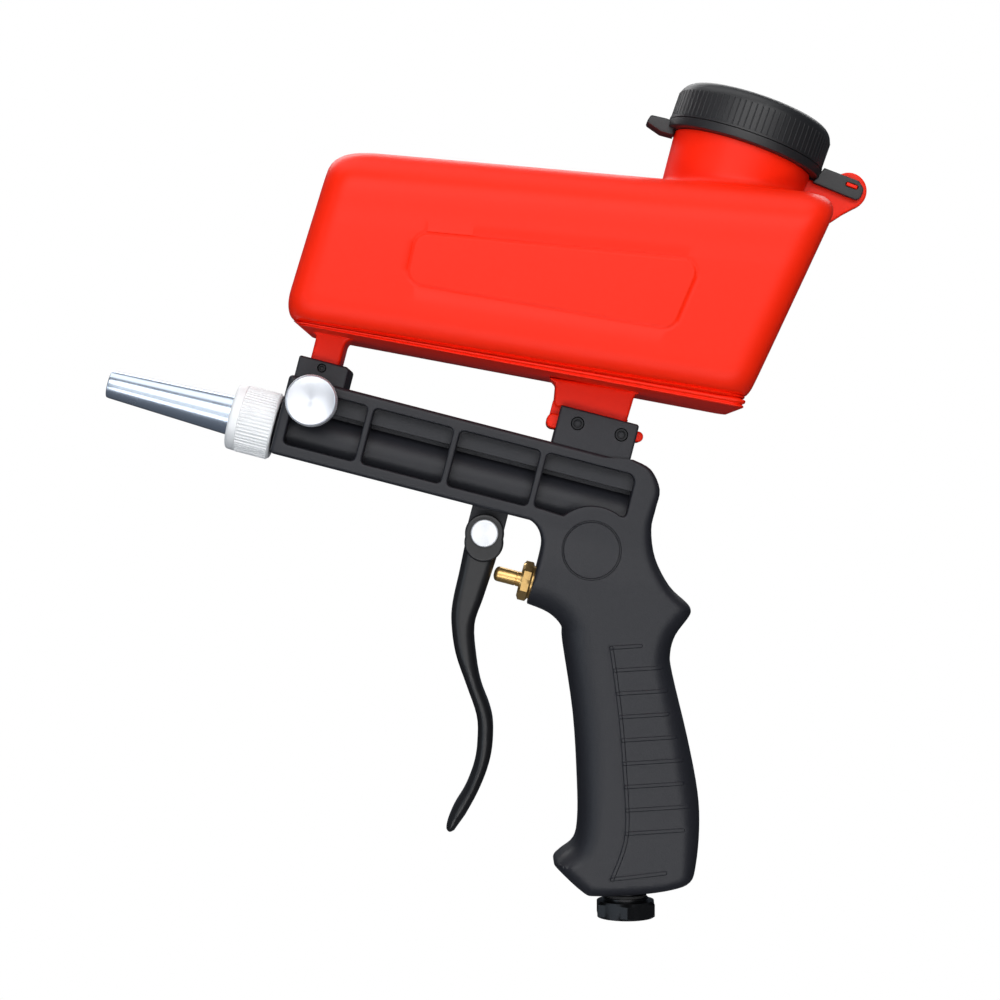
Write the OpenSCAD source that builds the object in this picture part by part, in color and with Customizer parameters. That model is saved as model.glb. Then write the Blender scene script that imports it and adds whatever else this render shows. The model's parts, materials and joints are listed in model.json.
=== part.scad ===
// Hand-held blast gun with a gravity-feed media hopper, trigger valve and flow knob.
// Millimetres. The origin is the centre of the air inlet's lower face, +Z runs up the
// inlet, -X points to the nozzle end and the flow knob is on the -Y side.

/* [Barrel] */
// Nose-up tilt of the barrel in degrees
barrel_tilt = 14.5; // [13.5:0.5:15.5]
// Half height of the barrel beam below its bore axis
beam_low = 9.5; // [9.2:0.1:10.5]
// Half height of the barrel beam above its bore axis
beam_high = 19.3; // [19:0.1:20]
// Width of the barrel beam and the saddles
beam_w = 28; // [26:0.5:29]
// Distance from the barrel's reference point to the front face
beam_front = 61.8; // [61.6:0.1:62.2]
// Radius of the cast tube that shows inside the side panels
tube_r = 8.75; // [8:0.25:9]

/* [Grip] */
// Full width of the hand grip
grip_w = 31; // [29:0.5:34]
// Width of the grip's flat front and back edges
grip_edge_w = 11; // [8:1:14]

/* [Nozzle] */
// Length of the nozzle in front of its nut
nozzle_out = 45.8; // [40:0.2:50]
// Radius of the nozzle's tip
nozzle_tip_r = 4.95; // [4.6:0.05:6]
// Radius of the nozzle where it leaves the nut
nozzle_root_r = 7.2; // [6.8:0.1:7.3]
// Outer radius of the ribbed nozzle nut
nut_r = 12.25; // [11.5:0.25:13]

/* [Hopper] */
// Outside width of the hopper
hopper_w = 79; // [72:1:84]
// Wall thickness of the hopper
hopper_wall = 2.2; // [1.8:0.1:2.6]
// Radius of the hopper's long upper edges
hopper_top_r = 15; // [10:1:18]
// Radius of the hopper's long lower edges
hopper_low_r = 10; // [8:1:12]

/* [Filler neck and cap] */
// Lean of the filler neck and its cap, in degrees
neck_tilt = 19.5; // [18:0.1:20.5]
// Outer radius of the cap
cap_r = 28.9; // [28:0.1:29.4]
// Height of the cap
cap_h = 14.5; // [14:0.5:15.5]

/* [Trigger and air valve] */
// Width of the trigger lever
trigger_w = 19.6; // [18:0.2:20.4]
// Radius of the trigger's pivot pin
pin_r = 2.5; // [2:0.1:2.8]
// Radius of the brass valve stem
stem_r = 2.7; // [2.4:0.1:3]
// Distance of the valve axis below the barrel axis
stem_drop = 31.1; // [30.6:0.1:31.6]

/* [Air inlet] */
// Across flats of the inlet's hexagon
inlet_af = 20.3; // [19:0.1:22]
// Radius of the inlet's threaded hole
inlet_r = 5.72; // [5.72:0.01:5.74]

/* [Hidden] */
$fn = 48;

body_black = "#3d3d42";
trigger_black = "#242426";
cap_black = "#333335";
hopper_red = "#f23a22";
rubber_black = "#1c1c1d";
brass = "#c9a45a";
steel = "#c3c7cc";
dark_steel = "#2b2c2e";
bright_metal = "#eef0f2";

run = 0.05;                        // radial clearance of a running fit
gap = 0.3;                         // room between pieces that move apart
big = 400;                         // longer than anything on the gun

// Reference point of the barrel: on the bore axis, in the gun's own frame
barrel_x = -64.66;
barrel_z = 160.25;

// Stations along the barrel, from its reference point towards the rear
panel_ribs = [-30.8, 0.6, 32.4];
panel_rib_w = 2.4;
panel_front = -58;
panel_rear = 66;
panel_low = -5;
panel_high = 15.2;
shelf_low = 9.4;
panel_floor = 5.5;                 // half width left between the panels
shelf_floor = 9;
medallion = [57.3, -14.4];
medallion_r = 10.6;
feed_u = -51.4;                    // media feed and flow valve
valve_w = 11.9;
valve_bore_r = 4.65;
knob_r = 9.2;
knob_face = -22.6;
knob_back = -15.4;
knob_screw_y = -18.5;
ring_stations = [-9, 8];
feed_r = 3;
spigot_r = 9.4;
spigot_front = -70.5;
sleeve_r = 6.5;
sleeve_rear = -45;
mix_bore_r = 4.8;
mix_rear = -45.5;
jet_fit_r = 2.6;
tube_bore_r = 4;
tube_rear = 52;
front_saddle = [-60.2, -41.8];
front_saddle_top = 26.8;
rear_saddle = [34.1, 62.7];
rear_saddle_top = 32.9;
saddle_w = 25;
lug_u = [12.4, 25.6];
lug_w = 12;
pin_u = 19.1;
pin_w = -18.1;
cheek_low = [19.7, -21.3];
boss_face = 40.1;
chamber_r = 5.5;
gland_r = 7.2;
chamber_end = 80;
port_u = 51.5;
port_r = 2.6;
seat_rear = 58;
stem_tip = 25.9;
stem_tail_r = 1.6;
poppet_end = 62.6;
spring_from = 63.4;
spring_to = 79;
spring_r = 4.1;
wire_r = 0.55;
spring_turns = 6;
ring_steps = 12;                   // rings of the wire's mesh in each turn
wire_sides = 6;

// Hopper feet
leg_u = [-56.5, -45.9];
leg_half = 9;
leg_bottom = 19.8;
seal_t = 1.8;
leg_bore_r = 3.8;
foot_u = [31, 58.6];
foot_web = 5;
foot_half = 8;
foot_r = 2.75;
foot_from = [30.4, 26.75];
foot_to = [65.3, 29.2];
fit_room = 0.15;
screw_u = [41.3, 57.3];
screw_w = 27.9;
screw_r = 1.5;
leg_screw_w = 24.2;

// Hopper outline: corner positions with their radii, in the gun's own frame
hopper_corners = [
  [-103, 271.9, 11], [-121.9, 212.4, 6.5], [37.3, 181, 2.5], [72.9, 256.8, 9]
];
top_dir = -5.05;                   // slope of each edge, in degrees
low_dir = -10.6;
low_point = [-22.8, 193.1];
front_dir = 73;
rear_dir = 64.9;
split_point = [-22.8, 196.6];      // parting line between the hopper's shell and base
split_dir = -8.3;
rim_t = 1.6;
rim_h = 3;

// Filler neck: the origin of its frame is where the tether ring sits
neck_x = 41.9;
neck_z = 274;
neck_r = 25.6;
neck_base_r = 23.8;
thread_r = 24;
neck_bore = 21.6;
neck_top = 13.6;
ring_h = 3;
cap_round = 5;

function unit(v) = v / norm(v);

// Corner b between a and c as an arc of radius r
function corner_arc(a, b, c, r, steps) =
  let (
    u = unit(a - b),
    v = unit(c - b),
    half = acos(u * v) / 2,
    centre = b + unit(u + v) * r / sin(half),
    from = b + u * r / tan(half) - centre,
    to = b + v * r / tan(half) - centre,
    start = atan2(from[1], from[0]),
    swing = atan2(to[1], to[0]) - start,
    turn = swing > 180 ? swing - 360 : swing < -180 ? swing + 360 : swing
  )
  [for (i = [0:steps]) centre + r * [cos(start + turn * i / steps), sin(start + turn * i / steps)]];

// Closed outline whose corners [x, y, radius] are rounded
function rounded(corners, steps = 6) =
  let (n = len(corners))
  [for (i = [0:n - 1])
    let (
      a = corners[(i + n - 1) % n],
      b = corners[i],
      c = corners[(i + 1) % n],
      p = [b[0], b[1]]
    )
    each b[2] == 0
      ? [p]
      : corner_arc([a[0], a[1]], p, [c[0], c[1]], b[2], steps)];

// Convex outline moved inwards by d, its radii made smaller
function shrunk(corners, d) =
  let (n = len(corners))
  [for (i = [0:n - 1])
    let (
      a = corners[(i + n - 1) % n],
      b = corners[i],
      c = corners[(i + 1) % n],
      u = unit([a[0] - b[0], a[1] - b[1]]),
      v = unit([c[0] - b[0], c[1] - b[1]]),
      half = acos(u * v) / 2,
      p = [b[0], b[1]] + unit(u + v) * d / sin(half)
    )
    [p[0], p[1], max(b[2] - d, 0.5)]];

// Point of a Catmull-Rom span between b and c
function span_point(a, b, c, d, t) =
  0.5 * (2 * b + (c - a) * t + (2 * a - 5 * b + 4 * c - d) * t * t
    + (3 * b - a - 3 * c + d) * t * t * t);

// Smooth open curve through the points
function smooth(points, steps = 3) =
  let (last = len(points) - 1)
  concat(
    [for (i = [0:last - 1], k = [0:steps - 1])
      span_point(points[max(i - 1, 0)], points[i], points[i + 1],
        points[min(i + 2, last)], k / steps)],
    [points[last]]);

// Rear of the body and the whole grip, down the back and up the front
back_curve = [
  [2, 164.1], [8.3, 160.6], [11.5, 153.5], [10.1, 146.6], [8.6, 139.3], [10, 129.1],
  [15, 119.3], [21.2, 113.3], [22.8, 110.6], [22, 107.9], [17.4, 101.5], [15.6, 95.1],
  [16.3, 88], [21.9, 64.3], [25.4, 45.6], [25.9, 32.5], [24.6, 19.8], [22.4, 13.7], [15.6, 11.1],
  [3.7, 9.4], [-10.8, 8.8], [-15.7, 10.1], [-24.7, 18.4], [-25.8, 20.9], [-23.5, 23.5],
  [-18.8, 27.6], [-17.3, 34.7], [-17.4, 48.6], [-18.9, 72.9], [-22.7, 98.7], [-23.3, 104.7],
  [-28, 109.6], [-35.5, 112.8]
];
window_curve = [
  [-31.4, 128.4], [-30.2, 135], [-31.7, 140], [-35.5, 143.1], [-41.9, 144.5]
];
inside_beam = [[-41, 152], [-26, 166]];
grip_outline = concat(smooth(back_curve), smooth(window_curve), inside_beam);

// Trigger blade, down the front and up the back
blade_front = [
  [-57.7, 134.4], [-59.7, 124.7], [-62.2, 113.3], [-62.6, 105.5], [-61.1, 94.8],
  [-57.2, 83.4], [-53.6, 72.7], [-53.3, 64.2], [-54.4, 55.7], [-57.6, 47.1], [-61.8, 40],
  [-64.4, 33.2], [-63.4, 31], [-61.6, 31.6]
];
blade_back = [
  [-57.6, 37.2], [-53.3, 45], [-49.8, 53.5], [-48, 61.3], [-47.7, 69.9], [-49, 76.3],
  [-51.9, 84.1], [-53.6, 92.7], [-54.4, 104.8], [-51.2, 114.7], [-48.2, 123.7],
  [-44.4, 135.4]
];
trigger_outline = concat(smooth(blade_front), smooth(blade_back));

module on_barrel() {
  translate([barrel_x, 0, barrel_z]) rotate([0, barrel_tilt, 0]) children();
}

module on_neck() {
  translate([neck_x, 0, neck_z]) rotate([0, neck_tilt, 0]) children();
}

// Upright plate cut to an outline in the X-Z plane, centred on Y = 0
module plate(points, width) {
  rotate([90, 0, 0]) linear_extrude(width, center = true) polygon(points);
}

// Round bar along X at height z
module bar(r, from, to, z = 0) {
  translate([from, 0, z]) rotate([0, 90, 0]) cylinder(r = r, h = to - from);
}

// Cone along X at height z
module taper(r_from, r_to, from, to, z = 0) {
  translate([from, 0, z]) rotate([0, 90, 0]) cylinder(r1 = r_from, r2 = r_to, h = to - from);
}

// Round bar along Y
module cross_bar(r, x, z, from, to) {
  translate([x, from, z]) rotate([-90, 0, 0]) cylinder(r = r, h = to - from);
}

// Box between two corners, centred on Y = 0
module block(x, z, width) {
  translate([x[0], -width / 2, z[0]]) cube([x[1] - x[0], width, z[1] - z[0]]);
}

module ring(r_out, r_in, h) {
  difference() {
    cylinder(r = r_out, h = h);
    translate([0, 0, -1]) cylinder(r = r_in, h = h + 2);
  }
}

module ring_x(r_out, r_in, from, to, z = 0) {
  difference() {
    bar(r_out, from, to, z);
    bar(r_in, from - 1, to + 1, z);
  }
}

// ---- Gun body ----

// Recesses on one side of the barrel: a deep floor with the tube, and a shelf above it
module side_panels() {
  starts = concat([panel_front], [for (u = panel_ribs) u + panel_rib_w / 2]);
  ends = concat([for (u = panel_ribs) u - panel_rib_w / 2], [panel_rear]);
  difference() {
    for (i = [0:len(starts) - 1]) {
      translate([starts[i], panel_floor, panel_low])
        cube([ends[i] - starts[i], beam_w, shelf_low - panel_low]);
      translate([starts[i], shelf_floor, shelf_low])
        cube([ends[i] - starts[i], beam_w, panel_high - shelf_low]);
    }
    bar(tube_r, -beam_front, panel_rear + 1);
    cross_bar(medallion_r + 5.2, medallion[0], medallion[1], 0, big);
    cross_bar(valve_bore_r + 3, feed_u, valve_w, 0, big);
  }
}

module barrel() {
  difference() {
    plate(rounded([[-beam_front, -beam_low, 1.5], [72, -beam_low, 0.5],
      [72, beam_high, 8], [-beam_front, beam_high, 1.5]]), beam_w);
    side_panels();
    mirror([0, 1, 0]) side_panels();
  }
  bar(spigot_r - 0.6, spigot_front, -beam_front + 1);
  for (u = [spigot_front + 0.8:1.5:-beam_front - 1]) {
    bar(spigot_r, u, u + 0.7);
  }
}

module saddles() {
  plate(rounded([[front_saddle[0], beam_high - 2, 0], [front_saddle[1], beam_high - 2, 0],
    [front_saddle[1], front_saddle_top, 1.5], [front_saddle[0], front_saddle_top, 0.8]]), saddle_w);
  plate(rounded([[rear_saddle[0], beam_high - 2, 0], [rear_saddle[1], beam_high - 2, 0],
    [rear_saddle[1], rear_saddle_top, 1], [rear_saddle[0], rear_saddle_top, 0.6]]), saddle_w);
}

module trigger_lug() {
  block(lug_u, [pin_w, -beam_low + 1], lug_w);
  cross_bar(6.6, pin_u, pin_w, -lug_w / 2, lug_w / 2);
}

// Hollows for the hopper's front leg and its rear foot rail
module leg_pocket() {
  translate([leg_u[0] - fit_room, -leg_half - fit_room, leg_bottom - seal_t])
    cube([leg_u[1] - leg_u[0] + 2 * fit_room, 2 * (leg_half + fit_room), 20]);
  block([rear_saddle[0] - 1, rear_saddle[1] + 1], [screw_w, rear_saddle_top + 1],
    2 * (foot_web + fit_room));
  foot_rail(fit_room, 6);
}

// T-shaped rail under the hopper's rear foot
module foot_rail(extra, longer) {
  slope = atan2(foot_to[1] - foot_from[1], foot_to[0] - foot_from[0]);
  long = norm(foot_to - foot_from);
  translate([foot_from[0], 0, foot_from[1]]) rotate([0, -slope, 0]) plate(rounded([
    [-longer - extra, -foot_r - extra, 2], [long + longer + extra, -foot_r - extra, 1.8],
    [long + longer + extra, foot_r + extra - 0.4, 1.8], [-longer - extra, foot_r + extra, 2]
  ]), 2 * (foot_half + extra));
}

// Media passage, mixing bore and flow valve bore
module media_passages() {
  bar(sleeve_r, spigot_front - 1, sleeve_rear);
  bar(tube_bore_r, sleeve_rear - 1, tube_rear);
  translate([feed_u, 0, 0]) cylinder(r = feed_r, h = leg_bottom);
  cross_bar(valve_bore_r, feed_u, valve_w, -beam_w, beam_w);
}

// Air passages: valve chamber, the port up to the barrel and the channel up the grip
module air_passages() {
  on_barrel() {
    bar(chamber_r, boss_face - 1, chamber_end, -stem_drop);
    translate([port_u, 0, -stem_drop]) cylinder(r = port_r, h = stem_drop);
  }
  translate([0, 0, 7]) cylinder(r = 6.5, h = 14);
  translate([0, 0, 20]) cylinder(r = 3.2, h = 92);
}

module screw_holes() {
  for (u = screw_u) {
    cross_bar(screw_r + 0.1, u, screw_w, -saddle_w, saddle_w / 2 - 2);
    cross_bar(2.4, u, screw_w, -saddle_w, 1.9 - saddle_w / 2);
  }
  for (side = [-1, 1]) scale([1, side, 1]) {
    cross_bar(1.5, feed_u, leg_screw_w, 0, saddle_w);
  }
}

module gun_body() {
  color(body_black) difference() {
    union() {
      on_barrel() {
        barrel();
        saddles();
        trigger_lug();
      }
      plate(grip_outline, grip_edge_w);
      grip_side(1, 18);
      grip_side(3, 25);
      grip_side(7, grip_w);
    }
    on_barrel() {
      leg_pocket();
      media_passages();
      screw_holes();
      cross_bar(pin_r + run, pin_u, pin_w, -lug_w, lug_w);
      ring_groove();
    }
    air_passages();
  }
}

// One layer of the grip's rounded sides, kept clear of the side panels
module grip_side(inset, width) {
  difference() {
    rotate([90, 0, 0]) linear_extrude(width, center = true)
      offset(delta = -inset) polygon(grip_outline);
    on_barrel() block([-beam_front, panel_rear], [panel_low, beam_high + 1], grip_w + 2);
  }
}

// Shallow round line on both sides of the rear of the body
module ring_groove() {
  for (side = [-1, 1]) {
    translate([medallion[0], side * grip_w / 2, medallion[1]]) rotate([90, 0, 0])
      translate([0, 0, -0.5]) ring(medallion_r, medallion_r - 0.8, 1);
  }
}

// ---- Hopper ----

// Long bar whose edges towards +Y and -Y are rounded where it meets a sloping edge
module edge_bar(at, direction, r, inset) {
  half = hopper_w / 2 - inset;
  translate([at[0], 0, at[1]]) rotate([0, -direction, 0]) translate([-big, 0, 0])
    rotate([90, 0, 90]) linear_extrude(2 * big) polygon(rounded([
      [-half, inset, r - inset], [half, inset, r - inset], [half, big, 0], [-half, big, 0]
    ]));
}

// Closed form of the hopper, moved inwards by the inset
module hopper_form(inset) {
  intersection() {
    plate(rounded(shrunk(hopper_corners, inset)), hopper_w - 2 * inset);
    edge_bar([-24, 265], top_dir + 180, hopper_top_r, inset);
    edge_bar(low_point, low_dir, hopper_low_r, inset);
    edge_bar([-105, 264.6], front_dir + 180, 10, inset);
    edge_bar([54.35, 217.2], rear_dir, 10, inset);
  }
}

// Everything above the parting line, raised by up
module above_split(up) {
  translate([split_point[0], 0, split_point[1]]) rotate([0, -split_dir, 0])
    translate([-big / 2, -big / 2, up]) cube(big);
}

module neck_bore_cut() {
  on_neck() translate([0, 0, -24]) cylinder(r = neck_bore, h = 60);
}

module hopper_shell() {
  color(hopper_red) difference() {
    union() {
      intersection() {
        hopper_form(0);
        above_split(0);
      }
      on_neck() {
        translate([0, 0, -21]) cylinder(r1 = neck_base_r, r2 = neck_r, h = 21);
        cylinder(r = thread_r, h = neck_top);
        for (z = [5.2, 9.2]) translate([0, 0, z]) cylinder(r = thread_r + 0.5, h = 1.4);
      }
      tether_ear();
    }
    intersection() {
      hopper_form(hopper_wall);
      above_split(-1);
    }
    neck_bore_cut();
  }
}

// Lug at the hopper's upper rear corner with the peg that holds the strap
module tether_ear() {
  difference() {
    union() {
      cross_bar(6.6, 79.9, 260.8, -2.6, 2.6);
      plate([[66, 262], [79.9, 267.4], [84, 255.6], [78, 252.4], [72.5, 248.8], [66, 246]], 5.2);
      translate([80.6, -4, 262.2]) rotate([0, 20, 0]) cube([4, 4, 1.2], center = true);
    }
    hopper_form(hopper_wall);
  }
}

module hopper_base() {
  color(hopper_red) difference() {
    union() {
      difference() {
        hopper_form(0);
        above_split(-0.01);
      }
      intersection() {
        hopper_form(hopper_wall + 0.1);
        above_split(-1);
        difference() {
          hopper_form(0);
          above_split(rim_h);
        }
      }
      on_barrel() {
        block(leg_u, [leg_bottom, 36], 2 * leg_half);
        plate([[foot_u[0], 29.2], [foot_u[1], 29.6], [foot_u[1], 44], [foot_u[0], 42]],
          2 * foot_web);
        intersection() {
          foot_rail(0, 0);
          block([0, big], [0, big], 2 * foot_half);
        }
      }
    }
    intersection() {
      hopper_form(hopper_wall + rim_t);
      translate([0, 0, 0.4]) hopper_form(hopper_wall);
    }
    on_barrel() {
      translate([feed_u, 0, leg_bottom - 1]) cylinder(r = leg_bore_r, h = 24);
      for (u = screw_u) cross_bar(screw_r + 0.1, u, screw_w, -big, big);
      for (side = [-1, 1]) scale([1, side, 1]) cross_bar(0.8, feed_u, leg_screw_w, 6, 20);
    }
  }
}

module tether_strap() {
  color(cap_black) difference() {
    union() {
      on_neck() ring(28.8, 24.9, ring_h);
      plate([[7.2, 285.2], [8.9, 287.8], [14.2, 286.6], [17.6, 285.4], [16.9, 280.4], [12.4, 281.6]],
        9);
      strap_blade();
    }
    on_neck() translate([0, 0, -30]) cylinder(r = neck_r + 0.2, h = 30);
    on_neck() translate([0, 0, -1]) cylinder(r = 24.9, h = 30);
    translate([80.6, -4.4, 262.2]) rotate([0, 20, 0]) cube([4.9, 6, 1.9], center = true);
  }
}

module strap_blade() {
  translate([0, -4.3, 0]) plate([
    [66.5, 263.4], [70.9, 268.6], [83.2, 263.9], [85.1, 260.9], [83.3, 256.6]
  ], 2.2);
}

// ---- Fasteners and seals of the hopper ----

module front_saddle_screws() {
  color(dark_steel) on_barrel() for (side = [-1, 1]) scale([1, side, 1]) {
    difference() {
      cross_bar(1.4, feed_u, leg_screw_w, 9.2, 12);
      cross_bar(0.7, feed_u, leg_screw_w, 11, 13);
    }
    cross_bar(0.75, feed_u, leg_screw_w, 6.2, 9.3);
  }
}

module rear_saddle_screws() {
  color(dark_steel) on_barrel() for (u = screw_u) {
    difference() {
      cross_bar(2.3, u, screw_w, -12.2, -10.7);
      translate([u, -12.5, screw_w]) rotate([-90, 0, 0]) cylinder(r = 1.3, h = 1.2, $fn = 6);
    }
    cross_bar(screw_r, u, screw_w, -10.8, 10);
  }
}

module feed_seal() {
  color(rubber_black) on_barrel() translate([feed_u, 0, leg_bottom - seal_t])
    ring(5.1, leg_bore_r - 0.2, seal_t);
}

// ---- Barrel internals ----

module mixing_sleeve() {
  color(steel) on_barrel() difference() {
    bar(sleeve_r, spigot_front, sleeve_rear);
    bar(mix_bore_r, spigot_front - 1, mix_rear);
    bar(jet_fit_r, mix_rear - 1, sleeve_rear + 1);
    translate([feed_u, 0, 0]) cylinder(r = feed_r, h = 10);
  }
}

module air_jet() {
  color(brass) on_barrel() difference() {
    union() {
      taper(1.9, 3.2, -53, -48.5);
      bar(3.6, -48.5, -45.6);
      bar(2.5, -45.6, -38);
    }
    bar(0.9, -54, -50);
    bar(1.5, -50, -37);
  }
}

module air_tube() {
  color(steel) on_barrel() difference() {
    bar(tube_bore_r, -44, 46);
    bar(2.7, -45, 47);
  }
}

module nozzle_seal() {
  color(rubber_black) on_barrel() ring_x(8.6, 5.4, spigot_front - 0.9, spigot_front);
}

// ---- Nozzle and nut ----

module nozzle() {
  flange_rear = spigot_front - 1.2;
  root = -79.3;
  tip = root - nozzle_out;
  color(steel) on_barrel() difference() {
    union() {
      bar(8.6, flange_rear - 2.6, flange_rear);
      bar(nozzle_root_r, root, flange_rear - 2.5);
      taper(nozzle_tip_r, nozzle_root_r, tip, root);
    }
    taper(3.1, 4.8, tip - 1, flange_rear + 1);
  }
}

module nozzle_nut() {
  front = -79.3;
  rear = -63;
  color(bright_metal) on_barrel() difference() {
    union() {
      taper(nut_r - 1.4, nut_r, front, front + 1.4);
      bar(nut_r, front + 1.4, rear - 1);
      taper(nut_r, nut_r - 1, rear - 1, rear);
    }
    bar(nozzle_root_r + gap, front - 1, rear);
    bar(spigot_r + gap, front + 4.3, rear + 1);
  }
}

// ---- Flow knob ----

module flow_spindle() {
  color(steel) on_barrel() difference() {
    union() {
      cross_bar(valve_bore_r - run, feed_u, valve_w, -14.3, 14.6);
      cross_bar(3.4, feed_u, valve_w, -22, -14.2);
      cross_bar(3, feed_u, valve_w, 14.5, 17.2);
    }
    translate([feed_u, 0, 0]) cylinder(r = feed_r, h = 30);
    for (y = ring_stations) spindle_groove(y);
    translate([feed_u, 15.2, valve_w]) rotate([-90, 0, 0]) ring(5, 2.4, 0.9);
  }
}

module spindle_groove(y) {
  translate([feed_u, y, valve_w]) rotate([-90, 0, 0]) ring(6, 3.6, 1.4);
}

module flow_knob() {
  color(bright_metal) on_barrel() difference() {
    cross_bar(knob_r, feed_u, valve_w, knob_face, knob_back);
    cross_bar(3.4, feed_u, valve_w, -22, -14);
    translate([feed_u, knob_screw_y, valve_w]) rotate([0, 180, 0]) cylinder(r = 1.25, h = 12);
  }
}

module spindle_rings() {
  color(rubber_black) on_barrel() for (y = ring_stations) {
    translate([feed_u, y + 0.2, valve_w]) rotate([-90, 0, 0]) ring(valve_bore_r - run, 3.6, 1);
  }
}

module knob_grub_screw() {
  color(dark_steel) on_barrel() translate([feed_u, knob_screw_y, valve_w - 3.4]) rotate([0, 180, 0])
    difference() {
      cylinder(r = 1.25, h = 4.6);
      translate([0, 0, 3.4]) cylinder(r = 0.7, h = 2, $fn = 6);
    }
}

module spindle_clip() {
  color(dark_steel) on_barrel() translate([feed_u, 15.25, valve_w]) rotate([-90, 0, 0])
    difference() {
      ring(5.4, 2.45, 0.8);
      translate([-1.6, 0, -1]) cube([3.2, 8, 3]);
    }
}

// ---- Trigger ----

module trigger_lever() {
  color(trigger_black) difference() {
    union() {
      plate(trigger_outline, trigger_w - 2.6);
      on_barrel() {
        cross_bar(7, pin_u, pin_w, -trigger_w / 2, trigger_w / 2);
        cross_bar(7, cheek_low[0], cheek_low[1], -trigger_w / 2, trigger_w / 2);
      }
    }
    on_barrel() {
      cross_bar(7.3, pin_u, pin_w, -lug_w / 2 - gap, lug_w / 2 + gap);
      block([0, 40], [pin_w, 10], lug_w + 2 * gap);
      cross_bar(pin_r, pin_u, pin_w, -big, big);
      difference() {
        block([0, 40], [pin_w, 10], 40);
        cross_bar(7.3, pin_u, pin_w, -20, 20);
      }
    }
  }
}

module trigger_pin() {
  color(bright_metal) on_barrel() difference() {
    union() {
      cross_bar(pin_r, pin_u, pin_w, -trigger_w / 2 - 0.1, 12.2);
      cross_bar(4.9, pin_u, pin_w, -trigger_w / 2 - 1.9, -trigger_w / 2);
    }
    translate([pin_u, 10.4, pin_w]) rotate([-90, 0, 0]) ring(4, 1.9, 0.8);
  }
}

module trigger_clip() {
  color(dark_steel) on_barrel() translate([pin_u, 10.45, pin_w]) rotate([-90, 0, 0])
    difference() {
      ring(4.4, 1.95, 0.7);
      translate([-1.4, 0, -1]) cube([2.8, 8, 3]);
    }
}

// ---- Air valve ----

module gland_nut() {
  color(brass) on_barrel() difference() {
    union() {
      translate([boss_face - 4.5, 0, -stem_drop]) rotate([0, 90, 0])
        cylinder(r = gland_r, h = 4.1, $fn = 6);
      bar(6, boss_face - 0.5, boss_face, -stem_drop);
      bar(chamber_r, boss_face, 48.4, -stem_drop);
    }
    bar(stem_r + run, 30, 60, -stem_drop);
    bar(4.4, 44, 50, -stem_drop);
  }
}

module stem_packing() {
  color(rubber_black) on_barrel() ring_x(4.4, stem_r + run, 44, 47, -stem_drop);
}

module valve_seat() {
  color(brass) on_barrel() ring_x(chamber_r, 3.3, seat_rear - 3, seat_rear, -stem_drop);
}

module valve_stem() {
  color(brass) on_barrel() {
    bar(stem_r, stem_tip + 1.2, 50.5, -stem_drop);
    bar(stem_tail_r, 50, poppet_end, -stem_drop);
    taper(stem_r - 0.75, stem_r, stem_tip + 0.25, stem_tip + 1.2, -stem_drop);
    taper(stem_r - 1.3, stem_r - 0.75, stem_tip, stem_tip + 0.25, -stem_drop);
  }
}

module valve_poppet() {
  color(rubber_black) on_barrel() difference() {
    union() {
      bar(4.5, seat_rear + gap, poppet_end, -stem_drop);
      bar(2.6, poppet_end - 0.1, 66, -stem_drop);
    }
    bar(stem_tail_r, seat_rear, poppet_end, -stem_drop);
  }
}

// Points of a coil spring's wire, ring by ring
function coil_ring(i) =
  let (
    around = 360 * i / ring_steps,
    along = spring_from + (spring_to - spring_from) * i / (spring_turns * ring_steps)
  )
  [for (k = [0:wire_sides - 1])
    let (
      a = 360 * k / wire_sides,
      r = spring_r + wire_r * cos(a)
    )
    [along + wire_r * sin(a), r * cos(around), r * sin(around) - stem_drop]];

module valve_spring() {
  rings = spring_turns * ring_steps;
  points = [for (i = [0:rings]) each coil_ring(i)];
  sides = [for (i = [0:rings - 1], k = [0:wire_sides - 1])
    let (
      a = i * wire_sides + k,
      b = i * wire_sides + (k + 1) % wire_sides
    )
    [a, a + wire_sides, b + wire_sides, b]];
  first = [for (k = [0:wire_sides - 1]) k];
  last = [for (k = [wire_sides - 1:-1:0]) rings * wire_sides + k];
  color(steel) on_barrel() polyhedron(points, concat([first], sides, [last]), convexity = 8);
}

// ---- Air inlet ----

module inlet_fitting() {
  color(dark_steel) difference() {
    union() {
      rotate([0, 0, 30]) intersection() {
        cylinder(r = inlet_af / 2 / cos(30), h = 6, $fn = 6);
        union() {
          translate([0, 0, 1]) cylinder(r = inlet_af / 2 / cos(30), h = 4);
          cylinder(r1 = inlet_af / 2 + 0.2, r2 = inlet_af / 2 / cos(30), h = 1);
          translate([0, 0, 5]) cylinder(r1 = inlet_af / 2 / cos(30), r2 = inlet_af / 2 + 0.2, h = 1);
        }
      }
      cylinder(r = 8, h = 7.2);
      cylinder(r = 6.5, h = 19.5);
    }
    translate([0, 0, -1]) cylinder(r = inlet_r, h = 13);
    translate([0, 0, 11]) cylinder(r = 5, h = 4);
    translate([0, 0, 14]) cylinder(r = 3.2, h = 8);
  }
}

module inlet_washer() {
  color(rubber_black) translate([0, 0, 7.2]) ring(7.5, 6.5, 1);
}

module inlet_screen() {
  color(steel) translate([0, 0, 14]) mirror([0, 0, 1]) difference() {
    cylinder(r = 5, h = 1.2);
    for (a = [0:60:300]) rotate([0, 0, a]) translate([2.8, 0, -1]) cylinder(r = 0.9, h = 4);
    translate([0, 0, -1]) cylinder(r = 0.9, h = 4);
  }
}

// ---- Cap ----

module cap_gasket() {
  color(rubber_black) on_neck() translate([0, 0, neck_top + gap]) ring(thread_r, neck_bore, 0.8);
}

module cap_liner() {
  color(steel) on_neck() translate([0, 0, neck_top + 2 * gap + 0.8]) cylinder(r = thread_r, h = 0.8);
}

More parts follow.
